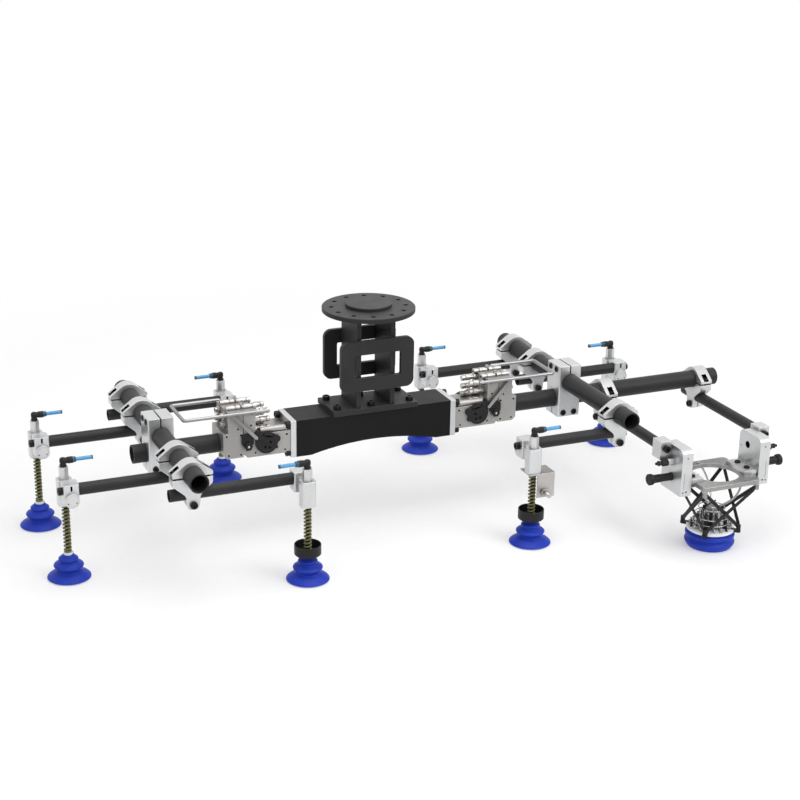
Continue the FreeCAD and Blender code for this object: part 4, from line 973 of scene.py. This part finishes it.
def makeLatches():
    maker = Maker()
    flat, corner = latch["half"] - latch["corner"], latch["corner"]
    for side in (-1, 1):
        outline = []
        for quarter, (right, up) in enumerate(((1, 1), (-1, 1), (-1, -1), (1, -1))):
            for step in range(7):
                turn = math.radians(90 * quarter + 15 * step)
                outline.append((side * (latch["x"] + right * flat + corner * math.cos(turn)),
                                latch["bodyZ"] + up * flat + corner * math.sin(turn) + tubeLevel))
        maker.plate(outline, latch["far"], latch["near"], upright)
        place = at(side * latch["x"], latch["knobY"], latch["knobZ"] + tubeLevel, (0, -1, 0))
        maker.loft(latch["knob"], place, steps=6)
        # a bright steel stud in the knob's hexagon recess, a painted highlight
        maker.loft(latch["screw"], place, slot=1, steps=20)
    maker.finish("latchKnobs", "frame", ["blackPlastic", "brightSteel"], ["latch_knobs"])


# Knobs of the head's index plungers, with their pins
indexKnob = {"x": 158, "z": -106, "radius": 12.6, "length": 12, "edge": 1.4, "pin": 4, "pinStart": 84}


def makeIndexKnob(side, name):
    maker = Maker()
    radius, length, edge = indexKnob["radius"], indexKnob["length"], indexKnob["edge"]
    pin, start, seat = indexKnob["pin"], indexKnob["pinStart"], indexKnob["x"]
    place = at(head["x"], head["y"], indexKnob["z"] + tubeLevel, (side, 0, 0))
    maker.loft([(pin - 1, start), (pin, start + 1), (pin, seat + 1)], place, slot=1)
    maker.loft([(radius - 2 * edge, 0), (radius - edge, edge), (radius - edge, 2 * edge), (radius, 3 * edge),
                (radius, length - edge), (radius - edge, length), (radius * 0.5, length),
                (radius * 0.42, length - 0.8), (0.5, length - 0.8)],
               place @ Matrix.Translation((0, 0, seat)), steps=40)
    maker.finish("indexKnob_" + name, "index_" + name, ["blackPlastic", "brightSteel"],
                 ["index_knob_" + name])


makeLatches()
makeIndexKnob(-1, "left")
makeIndexKnob(1, "right")
print("couplings and knobs made")


# Valve block, small fittings, hoops and hoses over the head's platform
hub = {"radius": 17, "top": 34, "cap": 12}
fittingRings = [{"count": 8, "reach": 23, "radius": 4.2, "top": 40, "turn": 10},
                {"count": 13, "reach": 34, "radius": 4.6, "top": 22, "turn": 0},
                {"count": 18, "reach": 44.5, "radius": 2.9, "top": 9, "turn": 8}]
hoops = [{"reach": 41, "height": 13, "wire": 1.2}, {"reach": 39, "height": 26, "wire": 1.2},
         {"reach": 29, "height": 44, "wire": 1.2}]
headHoses = [{"from": (14, -8, 48), "over": (52, -40, 72), "to": (58, -18, 116), "radius": 2.4, "slot": 2},
             {"from": (-10, -12, 48), "over": (-48, -36, 84), "to": (-40, 6, 126), "radius": 2.4, "slot": 2},
             {"from": (8, 14, 48), "over": (30, 60, 90), "to": (-6, 58, 130), "radius": 2.2, "slot": 0},
             {"from": (-30, -26, 30), "over": (-60, -30, 60), "to": (-26, -50, 84), "radius": 1.6, "slot": 3}]


def curvePoints(start, over, end, steps=18):
    a, b, c = Vector(start), Vector(over), Vector(end)
    return [(1 - t) ** 2 * a + 2 * t * (1 - t) * b + t * t * c for t in (k / steps for k in range(steps + 1))]


def hoopPoints(reach, height, steps=64):
    turns = [2 * math.pi * k / steps for k in range(steps + 1)]
    return [Vector((reach * math.cos(turn), reach * math.sin(turn), height)) for turn in turns]


def makeHeadFittings():
    maker = Maker()
    x, y, base = head["x"], head["y"], head["platformTop"]
    origin = Vector((x, y, base))
    middle = at(x, y, base)
    radius, top, cap = hub["radius"], hub["top"], hub["cap"]
    maker.loft([(radius, 0), (radius, top - 8), (radius - 2, top - 7), (radius - 2, top - 5), (radius, top - 4),
                (radius, top - 1), (radius - 1, top), (cap, top), (cap, top + 12), (cap - 2, top + 14),
                (-cap + 4, top + 14.2), (-cap + 4, top + 22), (4, top + 23)], middle, slot=1, steps=36)
    for ring in fittingRings:
        for step in range(ring["count"]):
            angle = math.radians(ring["turn"] + 360 * step / ring["count"])
            spot = at(x + ring["reach"] * math.cos(angle), y + ring["reach"] * math.sin(angle), base)
            r, tall = ring["radius"], ring["top"]
            look = (0, 1, 3)[step % 3]
            maker.loft([(-r, 0), (-r, tall * 0.35), (r * 0.72, tall * 0.4), (r * 0.72, tall * 0.62),
                        (r, tall * 0.66), (r, tall * 0.92), (r * 0.8, tall)], spot, slot=look, steps=18)
            # a near-black disc in each fitting's mouth, painted shade
            maker.loft([(r * 0.6, tall - 0.5), (r * 0.6, tall + 0.15)], spot, slot=4, steps=18)
    for hoop in hoops:
        maker.sweep([origin + spot for spot in hoopPoints(hoop["reach"], hoop["height"])], hoop["wire"], sides=8)
    for hose in headHoses:
        points = curvePoints(hose["from"], hose["over"], hose["to"])
        maker.sweep([origin + spot for spot in points], hose["radius"], slot=hose["slot"], sides=12)
    maker.finish("headFittings", "frame", ["brightSteel", "satinSilver", "clearHose", "blackPlastic", "holeShadeAndBlack"])


makeHeadFittings()


# Black sleeves over the posts of the strut joints
strutJoints = {"upper": (66, -130), "lower": (44, -233), "radius": 5.0, "half": 5.5}
platform = {"radius": 53.5, "low": -246, "high": -240, "tab": 5.4, "reach": 34}


def makeStrutJoints():
    maker = Maker()
    radius, half = strutJoints["radius"], strutJoints["half"]
    for spread, z in (strutJoints["upper"], strutJoints["lower"]):
        for across in (-spread, spread):
            for along in (-spread, spread):
                place = at(head["x"] + across, head["y"] + along, z + tubeLevel)
                maker.loft([(radius - 1, -half), (radius, -half + 1), (radius, half - 1), (radius - 1, half)], place)
    maker.finish("strutJointSleeves", "frame", ["blackPlastic"])


def makeHeadPlatform():
    maker = Maker()
    low, high, radius, tab = platform["low"], platform["high"], platform["radius"], platform["tab"]
    maker.loft([(radius - 0.8, low), (radius, low + 0.8), (radius, high - 0.8), (radius - 0.8, high)],
               at(head["x"], head["y"], tubeLevel), steps=72)
    spread = strutJoints["lower"][0]
    flat = Matrix.Translation((head["x"], head["y"], tubeLevel))
    for across in (-1, 1):
        for along in (-1, 1):
            start = (across * platform["reach"], along * platform["reach"], tab)
            end = (across * spread, along * spread, tab)
            maker.plate(roundedLink(start, end), low + 0.4, high + 0.2, flat, slot=1)
    maker.finish("headPlatform", "frame", ["whitePlastic", "blackPlastic"], ["head_platform"])


makeStrutJoints()
makeHeadPlatform()


# Vent stud on a boss, barrel of the index plunger, slot and small screws of each bracket
bracket = {"face": 112, "inner": 86, "front": -40, "stud": (-2, -70), "barrelEnd": 158, "slotX": (103.5, 105.5),
           "slotZ": (-124, -86), "dots": [(98, -130, 2.0), (106, -131, 1.6), (99, -52, 1.6)],
           "holes": [(8, -62, 8, 2, 32), (32, -71, 2.4, 3, 20)],  # a hole's y, height, radius, finish and steps
           "boss": [(8, -1), (8, 13), (7.2, 14)],
           "vent": [(-6.6, 13.5), (-6.6, 28), (-5.8, 29), (4.4, 29.4), (4.4, 33), (-5.0, 33.4), (-5.0, 38),
                    (3.2, 39), (3.2, 43), (2.4, 44)],
           "barrel": [(9.2, 0), (9.2, 3), (8.7, 4), (8.7, 26), (9.2, 27)], "barrelTip": [(9.2, -1), (8.2, 0)]}


def makeBracketDetails():
    maker = Maker()
    face, end, front = bracket["face"], bracket["barrelEnd"], head["y"] + bracket["front"]
    level = Matrix(((1, 0, 0, 0), (0, 0, -1, front), (0, 1, 0, tubeLevel), (0, 0, 0, 1)))
    for side in (-1, 1):
        y, z = bracket["stud"]
        place = at(head["x"], head["y"] + y, z + tubeLevel, (side, 0, 0))
        maker.loft(raised(bracket["boss"], face), place, steps=28)
        maker.loft(raised(bracket["vent"], face), place, slot=1)
        barrel = at(head["x"], head["y"], indexKnob["z"] + tubeLevel, (side, 0, 0))
        maker.loft(raised(bracket["barrel"], face) + raised(bracket["barrelTip"], end), barrel, slot=1, steps=32)
        for x, z, radius in bracket["dots"]:
            place = at(head["x"] + side * x, front, z + tubeLevel, (0, -1, 0))
            maker.loft([(radius, -0.5), (radius, 0.15)], place, slot=2, steps=20)
        x0, x1 = (head["x"] + side * x for x in bracket["slotX"])
        z0, z1 = bracket["slotZ"]
        maker.plate([(x0, z0), (x1, z0), (x1, z1), (x0, z1)], -0.4, proud, level, slot=3)
        # a hole in the near-black finish is painted shade
        for y, z, radius, slot, steps in bracket["holes"]:
            place = at(head["x"] + side * bracket["inner"], head["y"] + y, z + tubeLevel, (-side, 0, 0))
            maker.loft([(radius, -0.4), (radius, proud)], place, slot=slot, steps=steps)
    maker.finish("bracketFittings", "frame", ["aluminium", "blackPlastic", "holeShadeAndBlack", "couplerMetal"],
                 ["index_barrels"])


makeBracketDetails()
print("head fittings made")


# Floor, backdrop and lights: the floor lies just under the small cups and dips gently below the large one
floorShape = {"level": -0.4716, "dipLevel": -0.5506, "dipStart": 0.08, "dipEnd": 0.40, "half": 9.0, "steps": 96,
              "rings": 41, "ringStep": 0.01, "farRings": [0.6, 1.0, 2.0, 4.0]}
floorLook = {"dark": (0.86, 0.86, 0.865, 1), "light": (0.88, 0.88, 0.885, 1), "rough": 0.9, "specular": 0.1,
             "grain": 60.0, "fadeStart": 0.9, "fadeEnd": 2.1, "leastGlow": 0.3}


def floorHeight(reach):
    start, end = floorShape["dipStart"], floorShape["dipEnd"]
    low, high = floorShape["dipLevel"], floorShape["level"]
    share = min(max((reach - start) / (end - start), 0), 1)
    return low + (high - low) * share * share * (3 - 2 * share)


def makeFloor():
    mesh = bmesh.new()
    near = [floorShape["ringStep"] * k for k in range(1, floorShape["rings"] + 1)]
    steps = floorShape["steps"]
    turns = [2 * math.pi * k / steps for k in range(steps)]
    centre = Vector((head["x"] * mm, head["y"] * mm, 0))
    before = None
    for reach in near + floorShape["farRings"] + [floorShape["half"]]:
        level = floorHeight(reach)
        ring = [mesh.verts.new(centre + Vector((reach * math.cos(t), reach * math.sin(t), level))) for t in turns]
        if before is None:
            mesh.faces.new(ring)
        else:
            for k in range(steps):
                after = (k + 1) % steps
                mesh.faces.new((before[k], ring[k], ring[after], before[after]))
        before = ring
    for face in mesh.faces:
        face.smooth = True
    data = bpy.data.meshes.new("floor")
    mesh.to_mesh(data)
    mesh.free()
    piece = bpy.data.objects.new("floor", data)
    bpy.context.scene.collection.objects.link(piece)
    data.materials.append(makeFloorPaper())


def makeFloorPaper():  # paper that fades into the white background away from the object
    material = bpy.data.materials.new("floorPaper")
    material.use_nodes = True
    tree = material.node_tree
    link = tree.links.new
    shader = tree.nodes["Principled BSDF"]
    shader.inputs["Roughness"].default_value = floorLook["rough"]
    shader.inputs["Specular IOR Level"].default_value = floorLook["specular"]
    grain = placeEffect(tree, "grain", Scale=floorLook["grain"])
    tone = addNode(tree, "ShaderNodeMix", {"data_type": "RGBA"}, {6: floorLook["dark"], 7: floorLook["light"]})
    link(grain.outputs["Grain"], tone.inputs[0])
    link(tone.outputs[2], shader.inputs["Base Color"])
    place = addNode(tree, "ShaderNodeTexCoord")
    distance = addNode(tree, "ShaderNodeVectorMath", {"operation": "LENGTH"})
    fade = addNode(tree, "ShaderNodeMapRange", {"interpolation_type": "SMOOTHSTEP"},
                   {"From Min": floorLook["fadeStart"], "From Max": floorLook["fadeEnd"],
                    "To Min": floorLook["leastGlow"]})
    glow = addNode(tree, "ShaderNodeEmission", {}, {"Color": (1, 1, 1, 1), "Strength": 1.0})
    mix = addNode(tree, "ShaderNodeMixShader")
    link(place.outputs["Object"], distance.inputs[0])
    link(distance.outputs["Value"], fade.inputs["Value"])
    link(fade.outputs["Result"], mix.inputs[0])
    link(shader.outputs[0], mix.inputs[1])
    link(glow.outputs[0], mix.inputs[2])
    link(mix.outputs[0], tree.nodes["Material Output"].inputs["Surface"])
    return material


lamps = {
    "overhead": {"place": (0.3, -0.4, 3.2), "aim": (0, 0, -0.2), "size": 3.0, "power": 64},
    "rightFront": {"place": (2.4, -3.0, 2.6), "aim": (0.1, 0, -0.3), "size": 2.6, "power": 66},
    "leftFill": {"place": (-3.0, -1.6, 1.2), "aim": (0, 0, -0.3), "size": 1.6, "power": 5},
}
surround = {"low": 0.42, "high": 0.8, "highFrom": 0.8}  # its light on the object; the camera and metal see it white


def makeLights():
    for name, values in lamps.items():
        data = bpy.data.lights.new(name, "AREA")
        data.shape = "DISK"
        data.size = values["size"]
        data.energy = values["power"]
        lamp = bpy.data.objects.new(name, data)
        bpy.context.scene.collection.objects.link(lamp)
        lamp.location = values["place"]
        aim = Vector(values["aim"]) - Vector(values["place"])
        lamp.rotation_euler = aim.to_track_quat("-Z", "Y").to_euler()


def makeSurround():
    world = bpy.data.worlds.new("studio")
    bpy.context.scene.world = world
    world.use_nodes = True
    tree = world.node_tree
    link = tree.links.new
    background = tree.nodes["Background"]
    background.inputs["Color"].default_value = (1, 1, 1, 1)
    place = addNode(tree, "ShaderNodeTexCoord")
    parts = addNode(tree, "ShaderNodeSeparateXYZ")
    rise = addNode(tree, "ShaderNodeMapRange", {}, {"From Min": 0.0, "From Max": surround["highFrom"],
                                                    "To Min": surround["low"], "To Max": surround["high"]})
    path = addNode(tree, "ShaderNodeLightPath")
    strength = addNode(tree, "ShaderNodeMix", {"data_type": "FLOAT"}, {3: 1.0})
    link(place.outputs["Generated"], parts.inputs[0])
    link(parts.outputs["Z"], rise.inputs["Value"])
    seen = path.outputs["Is Camera Ray"]
    for ray in ("Is Glossy Ray", "Is Transmission Ray"):
        either = addNode(tree, "ShaderNodeMath", {"operation": "MAXIMUM"})
        link(seen, either.inputs[0])
        link(path.outputs[ray], either.inputs[1])
        seen = either.outputs[0]
    link(seen, strength.inputs[0])
    link(rise.outputs["Result"], strength.inputs[2])
    link(strength.outputs[0], background.inputs["Strength"])


makeFloor()
makeLights()
makeSurround()
bpy.context.scene.view_settings.view_transform = "Standard"
print("floor and lights set")
